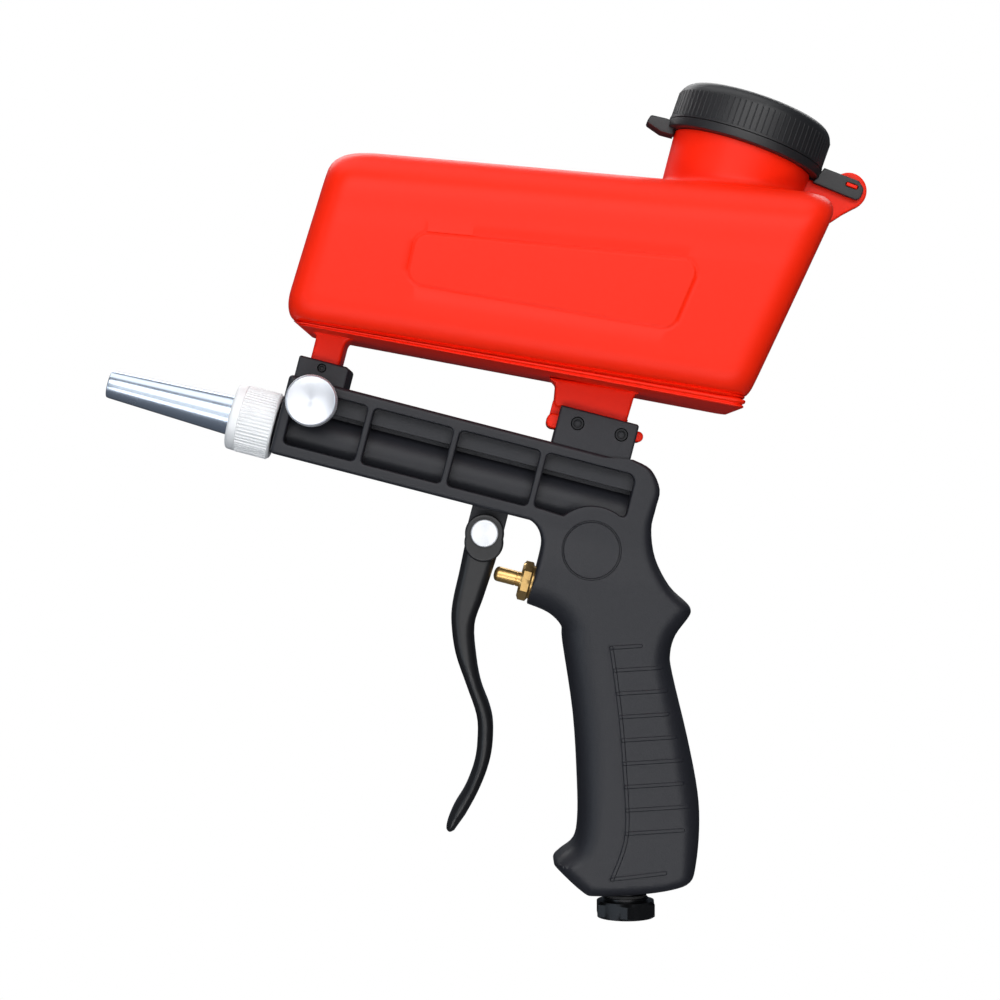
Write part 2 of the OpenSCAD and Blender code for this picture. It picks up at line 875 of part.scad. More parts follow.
module cap() {
  low = ring_h + gap;
  inside = neck_top + 3 * gap + 1.6;
  color(cap_black) on_neck() difference() {
    translate([0, 0, low]) rotate_extrude() polygon(concat([[0, 0]],
      rounded([[cap_r, 0, 0], [cap_r, cap_h, cap_round], [0, cap_h, 0]])));
    translate([0, 0, low - 1]) cylinder(r = thread_r + 0.9, h = inside - low + 1);
  }
}

gun_body();
hopper_shell();
hopper_base();
tether_strap();
front_saddle_screws();
rear_saddle_screws();
feed_seal();
mixing_sleeve();
air_jet();
air_tube();
nozzle_seal();
inlet_fitting();
inlet_washer();
inlet_screen();
gland_nut();
stem_packing();
valve_seat();
valve_stem();
valve_poppet();
valve_spring();
trigger_lever();
trigger_pin();
trigger_clip();
flow_knob();
flow_spindle();
spindle_rings();
knob_grub_screw();
spindle_clip();
nozzle();
nozzle_nut();
cap_gasket();
cap_liner();
cap();
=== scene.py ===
# %% [markdown]
# # A gravity-feed blast gun
# The gun has one moulded black body, a blow-moulded red hopper that stands on two feet, a
# turned steel nozzle and a handful of brass and steel fittings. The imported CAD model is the
# frame: every piece below sits where a CAD node is, and moves with that node's body.

import json
import math

import bmesh
import bpy
import numpy as np
from mathutils import Matrix, Vector
from mathutils.geometry import delaunay_2d_cdt
from mathutils.kdtree import KDTree


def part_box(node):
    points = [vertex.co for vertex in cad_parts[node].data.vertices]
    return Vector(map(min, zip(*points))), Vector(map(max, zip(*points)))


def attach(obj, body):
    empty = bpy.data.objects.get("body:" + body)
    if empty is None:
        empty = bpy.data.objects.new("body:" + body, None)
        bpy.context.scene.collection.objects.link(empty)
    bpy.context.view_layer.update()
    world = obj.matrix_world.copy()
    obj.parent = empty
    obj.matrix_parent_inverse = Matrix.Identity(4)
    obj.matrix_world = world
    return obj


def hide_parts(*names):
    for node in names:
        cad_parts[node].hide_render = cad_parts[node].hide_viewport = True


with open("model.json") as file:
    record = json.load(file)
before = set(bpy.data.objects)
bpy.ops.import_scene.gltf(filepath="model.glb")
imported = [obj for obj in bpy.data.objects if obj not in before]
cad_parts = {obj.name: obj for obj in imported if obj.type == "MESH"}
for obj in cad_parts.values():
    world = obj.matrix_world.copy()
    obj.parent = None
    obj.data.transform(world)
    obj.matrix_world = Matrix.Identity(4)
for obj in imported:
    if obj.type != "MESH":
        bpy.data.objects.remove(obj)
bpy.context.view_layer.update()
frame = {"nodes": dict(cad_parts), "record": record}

# %% [markdown]
# ## Three frames to work in
# Lengths here are millimetres in the gun's own frame: x to the rear, z up, y across. The
# barrel is tilted, and so is the filler neck, so each has a frame of its own. A small function
# turns a point of a tilted frame into the gun's own frame. Tilted objects would be another
# way, but then each piece's place would be in its object and not in its mesh.

# %% Frames
MM = 0.001
BARREL_AT = (-64.66, 160.25)
BARREL_TILT = math.radians(14.5)
NECK_AT = (41.9, 274)
NECK_TILT = math.radians(19.5)


def tilted(points, at, tilt):
    """Points (u, w) of a frame tilted about Y, as (x, z) of the gun's frame."""
    p = np.asarray(points, float)
    x = at[0] + p[..., 0] * math.cos(tilt) + p[..., 1] * math.sin(tilt)
    z = at[1] - p[..., 0] * math.sin(tilt) + p[..., 1] * math.cos(tilt)
    return np.stack([x, z], -1)


def barrel(points):
    return tilted(points, BARREL_AT, BARREL_TILT)


def along_barrel(points):
    """Points (x, z) of the gun's frame, as (u, w) along and above the bore."""
    p = np.asarray(points, float) - np.array(BARREL_AT)
    u = p[..., 0] * math.cos(BARREL_TILT) - p[..., 1] * math.sin(BARREL_TILT)
    w = p[..., 0] * math.sin(BARREL_TILT) + p[..., 1] * math.cos(BARREL_TILT)
    return np.stack([u, w], -1)


def placed(at, tilt, u, y, w, turn):
    """Matrix that takes a part made at the origin, in millimetres, to a place in a tilted frame."""
    x, z = tilted((u, w), at, tilt)
    place = Matrix.Translation((x * MM, y * MM, z * MM)) @ Matrix.Rotation(tilt, 4, "Y")
    return place @ turn @ Matrix.Scale(MM, 4)


UPRIGHT = Matrix.Identity(4)
TO_REAR = Matrix.Rotation(math.radians(90), 4, "Y")      # turns a part's Z axis to +u
TO_NEAR = Matrix.Rotation(math.radians(90), 4, "X")      # turns a part's Z axis to -y


def on_barrel(u, y, w, turn=UPRIGHT):
    return placed(BARREL_AT, BARREL_TILT, u, y, w, turn)


ON_NECK = placed(NECK_AT, NECK_TILT, 0, 0, 0, UPRIGHT)
PIN = (19.1, -18.1)
low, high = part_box("trigger_pin")
print("pin by the frame", round((low.x + high.x) / 2 / MM, 2), round((low.z + high.z) / 2 / MM, 2),
      "and by the barrel's frame", barrel(PIN).round(2))

# %% [markdown]
# ## Meshes from points and faces
# Every shape ends as one plain mesh. These helpers make the object, merge doubled points and
# mark as sharp only the edges that turn more than an angle, so that fillets look smooth and
# moulded steps stay crisp.

# %% Mesh helpers
SHARP = 38                                                 # an edge that turns more degrees is hard
WELD = 0.002 * MM


def shade(mesh, sharp=SHARP):
    mesh.polygons.foreach_set("use_smooth", [True] * len(mesh.polygons))
    mesh.set_sharp_from_angle(angle=math.radians(sharp))
    mesh.update()


def linked(name, data):
    """New object in the scene, with this mesh, light or camera."""
    obj = bpy.data.objects.new(name, data)
    bpy.context.scene.collection.objects.link(obj)
    return obj


def mesh_object(name, points, faces, matrix=None, sharp=SHARP, outward=True):
    mesh = bpy.data.meshes.new(name)
    mesh.from_pydata(np.asarray(points, float).tolist(), [], faces)
    mesh.transform(matrix or Matrix.Scale(MM, 4))
    bm = bmesh.new()
    bm.from_mesh(mesh)
    bmesh.ops.remove_doubles(bm, verts=bm.verts, dist=WELD)
    if outward:
        bmesh.ops.recalc_face_normals(bm, faces=bm.faces)
    bm.to_mesh(mesh)
    bm.free()
    shade(mesh, sharp)
    return linked(name, mesh)


def joined(name, objects, sharp=SHARP):
    """One object from several whose meshes are already in place."""
    bm = bmesh.new()
    for obj in objects:
        bm.from_mesh(obj.data)
        bpy.data.objects.remove(obj)
    mesh = bpy.data.meshes.new(name)
    bm.to_mesh(mesh)
    bm.free()
    shade(mesh, sharp)
    return linked(name, mesh)


def made_plain(obj):
    """Gives the object its evaluated mesh in place of its modifiers."""
    bpy.context.view_layer.update()
    seen = obj.evaluated_get(bpy.context.evaluated_depsgraph_get())
    mesh = bpy.data.meshes.new_from_object(seen)
    obj.modifiers.clear()
    obj.data = mesh


def cut(obj, cutters):
    """The object less its cutters, as a plain mesh."""
    for cutter in cutters:
        modifier = obj.modifiers.new("cut", "BOOLEAN")
        modifier.operation = "DIFFERENCE"
        modifier.solver = "EXACT"
        modifier.object = cutter
    made_plain(obj)
    for cutter in cutters:
        bpy.data.objects.remove(cutter)
    shade(obj.data)
    return obj


# %% [markdown]
# ## Outlines
# Flat shapes are closed outlines in the X-Z plane. Round corners are arcs and the grip's flowing
# sides are curves through a few points, so an outline is only as long as its shape needs.

# %% Outline helpers
def corner_arc(a, b, c, r, steps):
    """The corner b between a and c as an arc of radius r."""
    a, b, c = np.array(a), np.array(b), np.array(c)
    u = (a - b) / np.linalg.norm(a - b)
    v = (c - b) / np.linalg.norm(c - b)
    half = math.acos(np.clip(u @ v, -1, 1)) / 2
    centre = b + (u + v) / np.linalg.norm(u + v) * r / math.sin(half)
    first = b + u * r / math.tan(half) - centre
    last = b + v * r / math.tan(half) - centre
    start = math.atan2(first[1], first[0])
    turn = (math.atan2(last[1], last[0]) - start + math.pi) % (2 * math.pi) - math.pi
    angles = start + turn * np.linspace(0, 1, steps + 1)
    return centre + r * np.stack([np.cos(angles), np.sin(angles)], -1)


def rounded(corners, steps=8):
    """Closed outline through corners (x, z, radius)."""
    out = []
    for i, (x, z, r) in enumerate(corners):
        before = corners[i - 1][:2]
        after = corners[(i + 1) % len(corners)][:2]
        out.append(corner_arc(before, (x, z), after, r, steps) if r else np.array([[x, z]], float))
    return np.concatenate(out)


def smooth(points, steps=4):
    """Catmull-Rom curve through points of any number of values."""
    p = np.asarray(points, float)
    out = []
    for i in range(len(p) - 1):
        a, b, c, d = p[max(i - 1, 0)], p[i], p[i + 1], p[min(i + 2, len(p) - 1)]
        for t in np.arange(steps) / steps:
            out.append(0.5 * (2 * b + (c - a) * t + (2 * a - 5 * b + 4 * c - d) * t * t
                              + (3 * b - a - 3 * c + d) * t ** 3))
    return np.array(out + [p[-1]])


def circle(x, z, r, count=48):
    angles = np.arange(count) * 2 * math.pi / count
    return np.stack([x + r * np.cos(angles), z + r * np.sin(angles)], -1)


def resampled(loop, step):
    """The same closed loop, counter-clockwise, with its long edges divided."""
    x, z = loop[:, 0], loop[:, 1]
    if np.sum(x * np.roll(z, -1) - np.roll(x, -1) * z) < 0:
        loop = loop[::-1]
    out = []
    for a, b in zip(loop, np.roll(loop, -1, 0)):
        length = np.linalg.norm(b - a)
        parts = max(1, math.ceil(length / step))
        if length > 1e-6:
            out.extend(a + (b - a) * k / parts for k in range(parts))
    return np.array(out)


def moved_in(loop, d):
    """A counter-clockwise loop with each point moved inwards by d."""
    ahead = np.roll(loop, -1, 0) - np.roll(loop, 1, 0)
    ahead /= np.maximum(np.linalg.norm(ahead, axis=1, keepdims=True), 1e-9)
    return loop + d * np.stack([-ahead[:, 1], ahead[:, 0]], -1)


def capsule(points, r, steps=5):
    """Outline of a line of points with round ends."""
    p = np.asarray(points, float)
    ahead = np.gradient(p, axis=0)
    angle = np.arctan2(ahead[:, 1], ahead[:, 0])
    side = r * np.stack([-np.sin(angle), np.cos(angle)], -1)
    fan = np.linspace(0, math.pi, steps + 1)[1:-1]
    last = angle[-1] - math.pi / 2 + fan
    first = angle[0] + math.pi / 2 + fan
    return np.concatenate([p - side, p[-1] + r * np.stack([np.cos(last), np.sin(last)], -1),
                           (p + side)[::-1], p[0] + r * np.stack([np.cos(first), np.sin(first)], -1)])


# %% [markdown]
# ## Distances to an outline
# A moulded edge is rounded by how far a point lies from the edge, so the distance to an outline
# is the main tool here. numpy measures thousands of points against all edges at once.

# %% Distance helpers
def to_chain(points, chain):
    """Distance of each point to a chain of edges, and where on the chain the nearest point is."""
    a, edge = chain[:-1], chain[1:] - chain[:-1]
    length = np.maximum((edge ** 2).sum(1), 1e-12)
    near, where = [], []
    for block in np.array_split(points, len(points) * len(a) // 2_000_000 + 1):
        offset = block[:, None, :] - a[None]
        t = np.clip((offset * edge).sum(2) / length, 0, 1)
        d = np.linalg.norm(offset - t[..., None] * edge, axis=2)
        best = d.argmin(1)
        rows = np.arange(len(block))
        near.append(d[rows, best])
        where.append(best + t[rows, best])
    return np.concatenate(near), np.concatenate(where)


def inside(points, loop):
    """True where a point lies inside a closed loop."""
    a, b = loop, np.roll(loop, -1, 0)
    rise = np.where(b[:, 1] == a[:, 1], 1e-12, b[:, 1] - a[:, 1])
    out = []
    for block in np.array_split(points, len(points) * len(a) // 4_000_000 + 1):
        x, z = block[:, :1], block[:, 1:]
        spans = (a[:, 1] > z) != (b[:, 1] > z)
        cross = a[:, 0] + (z - a[:, 1]) / rise * (b[:, 0] - a[:, 0])
        out.append((spans & (x < cross)).sum(1) % 2 == 1)
    return np.concatenate(out)


def depth_in(points, loop):
    """Distance into a closed loop: positive inside it, negative outside."""
    d, _ = to_chain(points, np.concatenate([loop, loop[:1]]))
    return np.where(inside(points, loop), d, -d)


def roll(d, across, drop):
    """How far a rounded edge lies below its face, at distance d from the edge."""
    t = np.clip(1 - d / across, 0, 1)
    return drop * (1 - np.sqrt(1 - t * t))


def step_up(x, low, high):
    t = np.clip((x - low) / (high - low), 0, 1)
    return t * t * (3 - 2 * t)


# %% [markdown]
# ## The relief tool
# The body, the trigger and the small plates are all flat mouldings with a front and a back, so
# one tool makes them: it fills an outline with triangles and pushes each point out to a
# half width that a formula gives. Boxes with bevels would be quicker, but could not follow the
# grip's soft edges, and sculpting could not be repeated. A constrained Delaunay triangulation
# puts rows of points exactly along each moulded edge, and a hexagonal grid fills the rest.

# %% Relief tool
def mended(flat, width):
    """Half widths, where a point that no part covers takes its nearest covered neighbour's."""
    held = np.flatnonzero(width > 0)
    for i in np.flatnonzero(width <= 0):
        width[i] = width[held[np.linalg.norm(flat[held] - flat[i], axis=1).argmin()]]
    return width


def relief(name, loops, half_width, features=(), insets=(), grid=1.2, step=0.9, sharp=SHARP):
    loops = [resampled(loop, step) for loop in loops]
    points, edges = [], []

    def add(chain, kept, closed=True):
        place = np.cumsum(kept) - 1 + len(points)
        points.extend(chain[kept])
        for i in range(len(chain) - (not closed)):
            j = (i + 1) % len(chain)
            if kept[i] and kept[j]:
                edges.append((int(place[i]), int(place[j])))

    for loop in loops:
        add(loop, np.ones(len(loop), bool))
        for d in insets:
            moved = moved_in(loop, d)
            add(moved, np.abs(depth_in(moved, loop) - d) < 0.02 + 0.04 * abs(d))
    for feature in features:
        add(feature, np.ones(len(feature), bool))

    tree = KDTree(len(points))
    for i, p in enumerate(points):
        tree.insert((p[0], p[1], 0), i)
    tree.balance()
    every = np.concatenate(loops)
    xs = np.arange(every[:, 0].min(), every[:, 0].max(), grid)
    zs = np.arange(every[:, 1].min(), every[:, 1].max(), grid * math.sqrt(3) / 2)
    cells = np.array([(x + (k % 2) * grid / 2, z) for k, z in enumerate(zs) for x in xs])
    cells = cells[np.any([inside(cells, loop) for loop in loops], 0)]
    points.extend(c for c in cells if tree.find((c[0], c[1], 0))[2] > 0.6 * grid)

    flat, _, faces, *_ = delaunay_2d_cdt([Vector(p) for p in points], edges, [], 0, 1e-5, False)
    flat = np.array([v[:] for v in flat])
    faces = np.array([f for f in faces if len(f) == 3])
    middle = flat[faces].mean(1)
    faces = faces[np.any([inside(middle, loop) for loop in loops], 0)]
    used, where = np.unique(faces, return_inverse=True)
    flat, faces = flat[used], where.reshape(-1, 3)
    ways = {(int(f[i]), int(f[(i + 1) % 3])) for f in faces for i in range(3)}
    rim = [(a, b) for a, b in ways if (b, a) not in ways]

    count = len(flat)
    near = np.stack([flat[:, 0], -mended(flat, half_width(flat, -1)), flat[:, 1]], -1)
    far = np.stack([flat[:, 0], mended(flat, half_width(flat, 1)), flat[:, 1]], -1)
    quads = faces.tolist() + (faces[:, ::-1] + count).tolist()
    quads += [(a, a + count, b + count, b) for a, b in rim]
    obj = mesh_object(name, np.concatenate([near, far]), quads, sharp=sharp, outward=False)
    print(name, "relief,", len(quads), "faces")
    return obj


EDGE = (0.02, 0.08, 0.2, 0.4, 0.7, 1.1)


def plate(name, loops, half, across=0.8, grid=1.6, sharp=SHARP):
    """Plate of even width with rounded edges."""
    dense = [resampled(loop, 0.9) for loop in loops]

    def width(p, side):
        return half - roll(np.max([depth_in(p, loop) for loop in dense], 0), across, across)

    return relief(name, loops, width, insets=[across * d for d in EDGE], grid=grid, sharp=sharp)


# %% [markdown]
# ## The gun body's outline
# Barrel, saddles, trigger lug and grip are one black moulding. The barrel is a straight beam
# with the bore inside, and the grip is a closed curve that starts in the beam. Down the grip's
# back, under it and up its front the edge is soft, with a roll that changes along the way.

# %% Body outline
HALF = 14.0
GRIP_EXTRA = 1.5
SADDLE_HALF = 12.5
LUG_HALF = 6.0
TUBE_R = 8.75
HARD = 1.5

beam = barrel(rounded([(-61.8, -9.5, 1.5), (72, -9.5, 0.5), (72, 19.3, 8), (-61.8, 19.3, 1.5)]))
front_saddle = barrel(rounded([(-60.2, 17.3, 0), (-41.8, 17.3, 0), (-41.8, 26.8, 1.5),
                               (-60.2, 26.8, 0.8)]))
rear_saddle = barrel(rounded([(34.1, 17.3, 0), (62.7, 17.3, 0), (62.7, 32.9, 1), (34.1, 32.9, 0.6)]))
lug_neck = barrel([(12.4, PIN[1]), (25.6, PIN[1]), (25.6, -8.5), (12.4, -8.5)])
lug_eye = circle(*barrel(PIN), 6.6)

GRIP_EDGE = [
    (2, 164.1), (8.3, 160.6), (11.5, 153.5), (10.1, 146.6), (8.6, 139.3), (10, 129.1),
    (15, 119.3), (21.2, 113.3), (22.8, 110.6), (22, 107.9), (17.4, 101.5), (15.6, 95.1),
    (16.3, 88), (21.9, 64.3), (25.4, 45.6), (25.9, 32.5), (24.6, 19.8), (22.4, 13.7), (15.6, 11.1),
    (3.7, 9.4), (-10.8, 8.8), (-15.7, 10.1), (-24.7, 18.4), (-25.8, 20.9), (-23.5, 23.5),
    (-18.8, 27.6), (-17.3, 34.7), (-17.4, 48.6), (-18.9, 72.9), (-22.7, 98.7), (-23.3, 104.7),
    (-28, 109.6), (-35.5, 112.8)
]
WINDOW = [(-31.4, 128.4), (-30.2, 135), (-31.7, 140), (-35.5, 143.1), (-41.9, 144.5)]
IN_BEAM = [(-41, 152), (-26, 166)]
# width and depth of the soft edge at some of the points of GRIP_EDGE
SOFT_AT = [0, 2, 4, 6, 8, 10, 14, 18, 20, 23, 25, 28, 30, 32]
SOFT_ACROSS = [1.2, 2.5, 3.5, 4.5, 6, 7, 8, 4, 4.5, 6, 9, 12.5, 12, 11]
SOFT_DROP = [1.2, 2.5, 4, 6, 8, 9.5, 10, 6, 7, 8, 9.5, 10, 10, 9.5]

count = np.arange(len(GRIP_EDGE))
soft_edge = smooth(np.column_stack([GRIP_EDGE, np.interp(count, SOFT_AT, SOFT_ACROSS),
                                    np.interp(count, SOFT_AT, SOFT_DROP)]))
soft_line = soft_edge[:, :2]
hard_line = np.concatenate([soft_line[-1:], smooth(WINDOW)])
grip = np.concatenate([soft_line, smooth(WINDOW), IN_BEAM])
print("grip outline has", len(grip), "points")

# %% [markdown]
# ## Panels, medallion and grip lines
# The beam's sides are cored out into four panels, which saves plastic: a deep pocket in which
# the cast tube shows, with a shelf above it. The valve's boss stands in the first panel and a
# round medallion sits on the grip's shoulder. Raised lines on the grip are a ladder: one long
# spine with short rungs.

# %% Panels and lines
PANEL_STARTS = [-58, -29.6, 1.8, 33.6]
PANEL_ENDS = [-32, -0.6, 31.2, 66]
PANEL_LOW, SHELF, PANEL_HIGH, PANEL_R = -5, 9.4, 15.2, 1.6
FLOOR_HALF, SHELF_HALF = 3.5, 9.0
MEDALLION, MEDALLION_R, ROUND_MEDALLION = (57.3, -14.4), 10.2, 15.8
BOSS = (-51.4, 11.9)
BOSS_R = 7.65


def panel_outline(start, end):
    if end < 60:
        return rounded([(start, PANEL_LOW, PANEL_R), (end, PANEL_LOW, PANEL_R),
                        (end, PANEL_HIGH, PANEL_R), (start, PANEL_HIGH, PANEL_R)], 4)
    angles = np.radians(np.linspace(143.5, 66, 24))
    arc = np.array(MEDALLION) + ROUND_MEDALLION * np.stack([np.cos(angles), np.sin(angles)], -1)
    corner = corner_arc(arc[-1], (end, -1.2), (end, PANEL_HIGH), 1.5, 5)
    top = rounded([(end, 3, 0), (end, PANEL_HIGH, 3), (start, PANEL_HIGH, PANEL_R),
                   (start, PANEL_LOW, PANEL_R)], 5)
    return np.concatenate([arc, corner, top])


panels = [resampled(panel_outline(a, b), 0.9) for a, b in zip(PANEL_STARTS, PANEL_ENDS)]
spine = smooth([(-5.9, 97.6), (-4.7, 89.6), (-2.6, 72.9), (-1.3, 56.9), (-0.4, 32), (-5.6, 15.8)], 8)
rungs = [[(-5.9, 97.6), (4.5, 98.3)], [(-5.6, 15.8), (13.1, 18)]]
RUNG_ENDS = [12, 13.5, 13.9, 16.7, 19.2, 19.2, 21.3, 19.4]
FIRST_RUNG, RUNG_PITCH, RUNG_SLOPE = 89.6, 8.23, math.radians(3.5)
for k, end in enumerate(RUNG_ENDS):
    z = FIRST_RUNG - RUNG_PITCH * k
    x = float(np.interp(-z, -spine[:, 1], spine[:, 0]))
    rungs.append([(x, z), (end, z + (end - x) * math.tan(RUNG_SLOPE))])
lines = [spine] + [np.linspace(a, b, 16) for a, b in rungs]
print("grip lines", len(lines))

# %% [markdown]
# ## The body's half width
# This is the shape of the moulding as one formula. It takes the highest of the parts that
# cover a point, then cuts the panels, the medallion's groove and the screws' counterbores, and
# adds the grip lines.

# %% Body formula
SCREWS = [(41.3, 27.9), (57.3, 27.9)]
FRONT_SCREW = (-51.4, 24.2)
SCREW_WELL, FRONT_WELL, KNOB_WELL = (2.41, 1.9), (1.64, 1.5), (4.9, 2.0)      # radius and depth
RIM, WALL_RUN = 0.7, 0.06                                  # round of a panel's rim, run of its wall
RING_CUT, RING_HALF, FACE_CUT = 0.7, 0.45, 0.12            # groove round the medallion, and its face
LINE_HEIGHT, LINE_R, LINE_FOOT, MOAT, MOAT_R = 0.38, 0.45, 0.75, 0.1, 1.5
grip_dense = resampled(grip, 0.9)
saddles_dense = [resampled(front_saddle, 0.9), resampled(rear_saddle, 0.9)]
lug_dense = [resampled(lug_neck, 0.9), resampled(lug_eye, 0.9)]
OUT = -50.0                                               # half width where a part is absent


def part_width(p, loop, half, across):
    d = depth_in(p, loop)
    return np.where(d > -1e-4, half - roll(d, across, across), OUT)


def grip_width(p):
    w = along_barrel(p)[:, 1]
    full = HALF + GRIP_EXTRA * step_up(-w, 8, 26)
    d, where = to_chain(p, soft_line)
    across = np.interp(where, np.arange(len(soft_edge)), soft_edge[:, 2])
    drop = np.interp(where, np.arange(len(soft_edge)), soft_edge[:, 3])
    hard, _ = to_chain(p, hard_line)
    width = full - np.maximum(roll(d, across, drop), roll(hard, HARD, HARD))
    return np.where(inside(p, grip_dense) | (d < 1e-3) | (hard < 1e-3), width, OUT)


def panel_width(p):
    """Half width inside the panels: tube, floor and shelf."""
    w = along_barrel(p)[:, 1]
    tube = np.sqrt(np.maximum(TUBE_R ** 2 - w ** 2, 0))
    return np.where(w > SHELF + 0.03, SHELF_HALF, np.maximum(tube, FLOOR_HALF))


def sunk(q, at, well):
    """How far a round well lowers the face."""
    return np.where(np.linalg.norm(q - at, axis=1) < well[0], well[1], 0)


def body_width(p, side):
    width = np.maximum(part_width(p, beam, HALF, HARD), grip_width(p))
    for loop in saddles_dense:
        width = np.maximum(width, part_width(p, loop, SADDLE_HALF, 0.8))
    for loop in lug_dense:
        width = np.maximum(width, part_width(p, loop, LUG_HALF, 0.5))
    q = along_barrel(p)
    from_boss = np.linalg.norm(q - BOSS, axis=1)
    for loop in panels:
        d = depth_in(q, loop)
        width = width - np.where(d <= 0, roll(-d, RIM, RIM), 0)
        cored = np.clip(d / WALL_RUN, 0, 1) * np.clip((from_boss - BOSS_R) / WALL_RUN, 0, 1)
        width = np.where(d > 0, width + (panel_width(p) - width) * cored, width)
    width = width - sunk(q, BOSS, KNOB_WELL)
    from_medallion = np.linalg.norm(q - MEDALLION, axis=1)
    width = width - RING_CUT * step_up(RING_HALF - np.abs(from_medallion - MEDALLION_R), 0, 0.2)
    width = width - FACE_CUT * step_up(MEDALLION_R - from_medallion, 0, 0.1)
    for loop in lines:
        d, _ = to_chain(p, loop)
        width = width + LINE_HEIGHT * step_up(-d, -LINE_FOOT, -LINE_R) - MOAT * step_up(-d, -MOAT_R, -0.8)
    if side < 0:
        for screw_at in SCREWS:
            width = width - sunk(q, screw_at, SCREW_WELL)
    return width - sunk(q, FRONT_SCREW, FRONT_WELL)


# %% [markdown]
# ## The body's mesh
# The relief tool only knows where to put rows of points when it is told, so every edge of the
# formula is listed as a feature: the panels' rims and walls, the shelf, the wells and the lines.
# Without them the edges would be ragged, however fine the grid.

# %% Body mesh
PANEL_ROWS = (-RIM, -0.4, -0.18, -0.05, 0, WALL_RUN, 0.4)  # from inside the rim to past the wall
RING_ROWS = (9.75, 9.95, 10.45, 10.65)
features = [barrel(moved_in(loop, d)) for loop in panels for d in PANEL_ROWS]
tube_top = math.sqrt(TUBE_R ** 2 - FLOOR_HALF ** 2)        # height at which the tube meets the floor
for start, end in zip(PANEL_STARTS, PANEL_ENDS):
    for w in (SHELF, SHELF + WALL_RUN, tube_top - 0.6, tube_top):
        across = np.linspace(start + 0.1, end - 0.1, 30)
        features.append(barrel(np.column_stack([across, np.full(30, w)])))
for centre, radii, number in ((BOSS, (4.85, 4.95, BOSS_R, BOSS_R + WALL_RUN), 72),
                              (MEDALLION, RING_ROWS, 72),
                              (SCREWS[0], (2.38, 2.44), 28), (SCREWS[1], (2.38, 2.44), 28),
                              (FRONT_SCREW, (1.6, 1.68), 24)):
    features.extend(circle(*barrel(centre), r, number) for r in radii)
for line in lines:
    features.extend(capsule(line, r) for r in (LINE_R, LINE_FOOT, MOAT_R))

SOFT_INSETS = (-0.03, 0.02, 0.08, 0.2, 0.4, 0.7, 1.1, 1.6, 2.2, 3)
body = relief("gun_body_moulding", [beam, grip, front_saddle, rear_saddle, lug_neck, lug_eye],
              body_width, features=features, insets=SOFT_INSETS, grid=1.15)

# %% [markdown]
# ## Turned parts
# Everything round is a lathe profile: points (radius, height) spun round the Z axis, then
# turned into place. Spinning by formula keeps the axis exact, which a bevelled cylinder also
# would, but a profile can hold a fillet, a groove and a thread in one list.

# %% Lathe
def lathe(name, profile, matrix, segments=96, sharp=30, limit=None):
    """Closed profile of (radius, height) points spun round Z. limit(angle) caps the radius."""
    profile = np.asarray(profile, float)
    angles = np.arange(segments) * 2 * math.pi / segments
    reach = limit(angles) if limit else np.full(segments, 1e9)
    r = np.minimum(profile[None, :, 0], reach[:, None])
    ring = np.stack([r * np.cos(angles)[:, None], r * np.sin(angles)[:, None],
                     np.broadcast_to(profile[None, :, 1], r.shape)], -1)
    rows = len(profile)
    faces = []
    for i in range(segments):
        j = (i + 1) % segments
        for k in range(rows):
            m = (k + 1) % rows
            if profile[k, 0] > 1e-6 or profile[m, 0] > 1e-6:
                faces.append((i * rows + k, j * rows + k, j * rows + m, i * rows + m))
    return mesh_object(name, ring.reshape(-1, 3), faces, matrix=matrix, sharp=sharp)


def hexagon(apothem):
    """Radius limit of a hexagon, for lathe()."""
    def limit(angles):
        return apothem / np.cos((angles % (math.pi / 3)) - math.pi / 6)
    return limit


def arc_points(cx, cy, r, start, end, steps=6):
    """Points of an arc in a lathe profile, angles in degrees."""
    a = np.radians(np.linspace(start, end, steps + 1))
    return [(cx + r * math.cos(t), cy + r * math.sin(t)) for t in a]


def thread(r, crest, low, high, pitch):
    """Profile points of rounded thread crests between two heights, from high to low."""
    heights = np.arange(high, low, -pitch / 6)
    return [(r + crest * (0.5 + 0.5 * math.cos(2 * math.pi * z / pitch)), z) for z in heights]


spigot = lathe("spigot", [(6.5, -70.5), (8.6, -70.5)]
               + thread(8.6, 0.7, -69.8, -62.4, 1.5)[::-1] + [(8.6, -61), (6.5, -61)],
               on_barrel(0, 0, 0, TO_REAR))
body = joined("gun_body_moulding", [body, spigot])
print("gun body", len(body.data.polygons), "faces")

# %% [markdown]
# ## The hopper as a stack of sections
# The hopper is a blow-moulded box with large soft edges, wider at the top than at its seam. It
# could be a bevelled cube, but each edge has its own radius and no two sides are parallel.
# Instead it is a stack of rounded rectangles, each on a sloping line between the front and the
# rear edge. Rows and columns lie close together along the borders of the label panel.

# %% Hopper sections
WALL = 2.2
SIDE_HALF = 39
TOP_AT, TOP_SLOPE = (-24, 265), 5.05
FRONT_LINE = ((-105, 264.6), math.radians(73))
REAR_LINE = ((55.8, 217.2), math.radians(64.9))
LABEL = [(-74, 241.6, 5), (24.4, 232.1, 5), (14.1, 208, 5), (-77.8, 224.2, 5)]
STEP, RAISED, GROOVE = 0.22, 0.14, 0.3                     # the label's half step, height and groove


def meet(p, q, edge):
    """Where the line through p and q meets an edge given as a point and an angle."""
    p, q, at = np.array(p, float), np.array(q, float), np.array(edge[0], float)
    a, b = q - p, np.array([math.cos(edge[1]), math.sin(edge[1])])
    t = np.cross(at - p, b) / np.cross(a, b)
    return p + t * a


def sloped(x, z, degrees):
    return (x, z), (x + math.cos(math.radians(degrees)), z + math.sin(math.radians(degrees)))


def ends(line):
    return np.array([meet(*line, FRONT_LINE), meet(*line, REAR_LINE)])


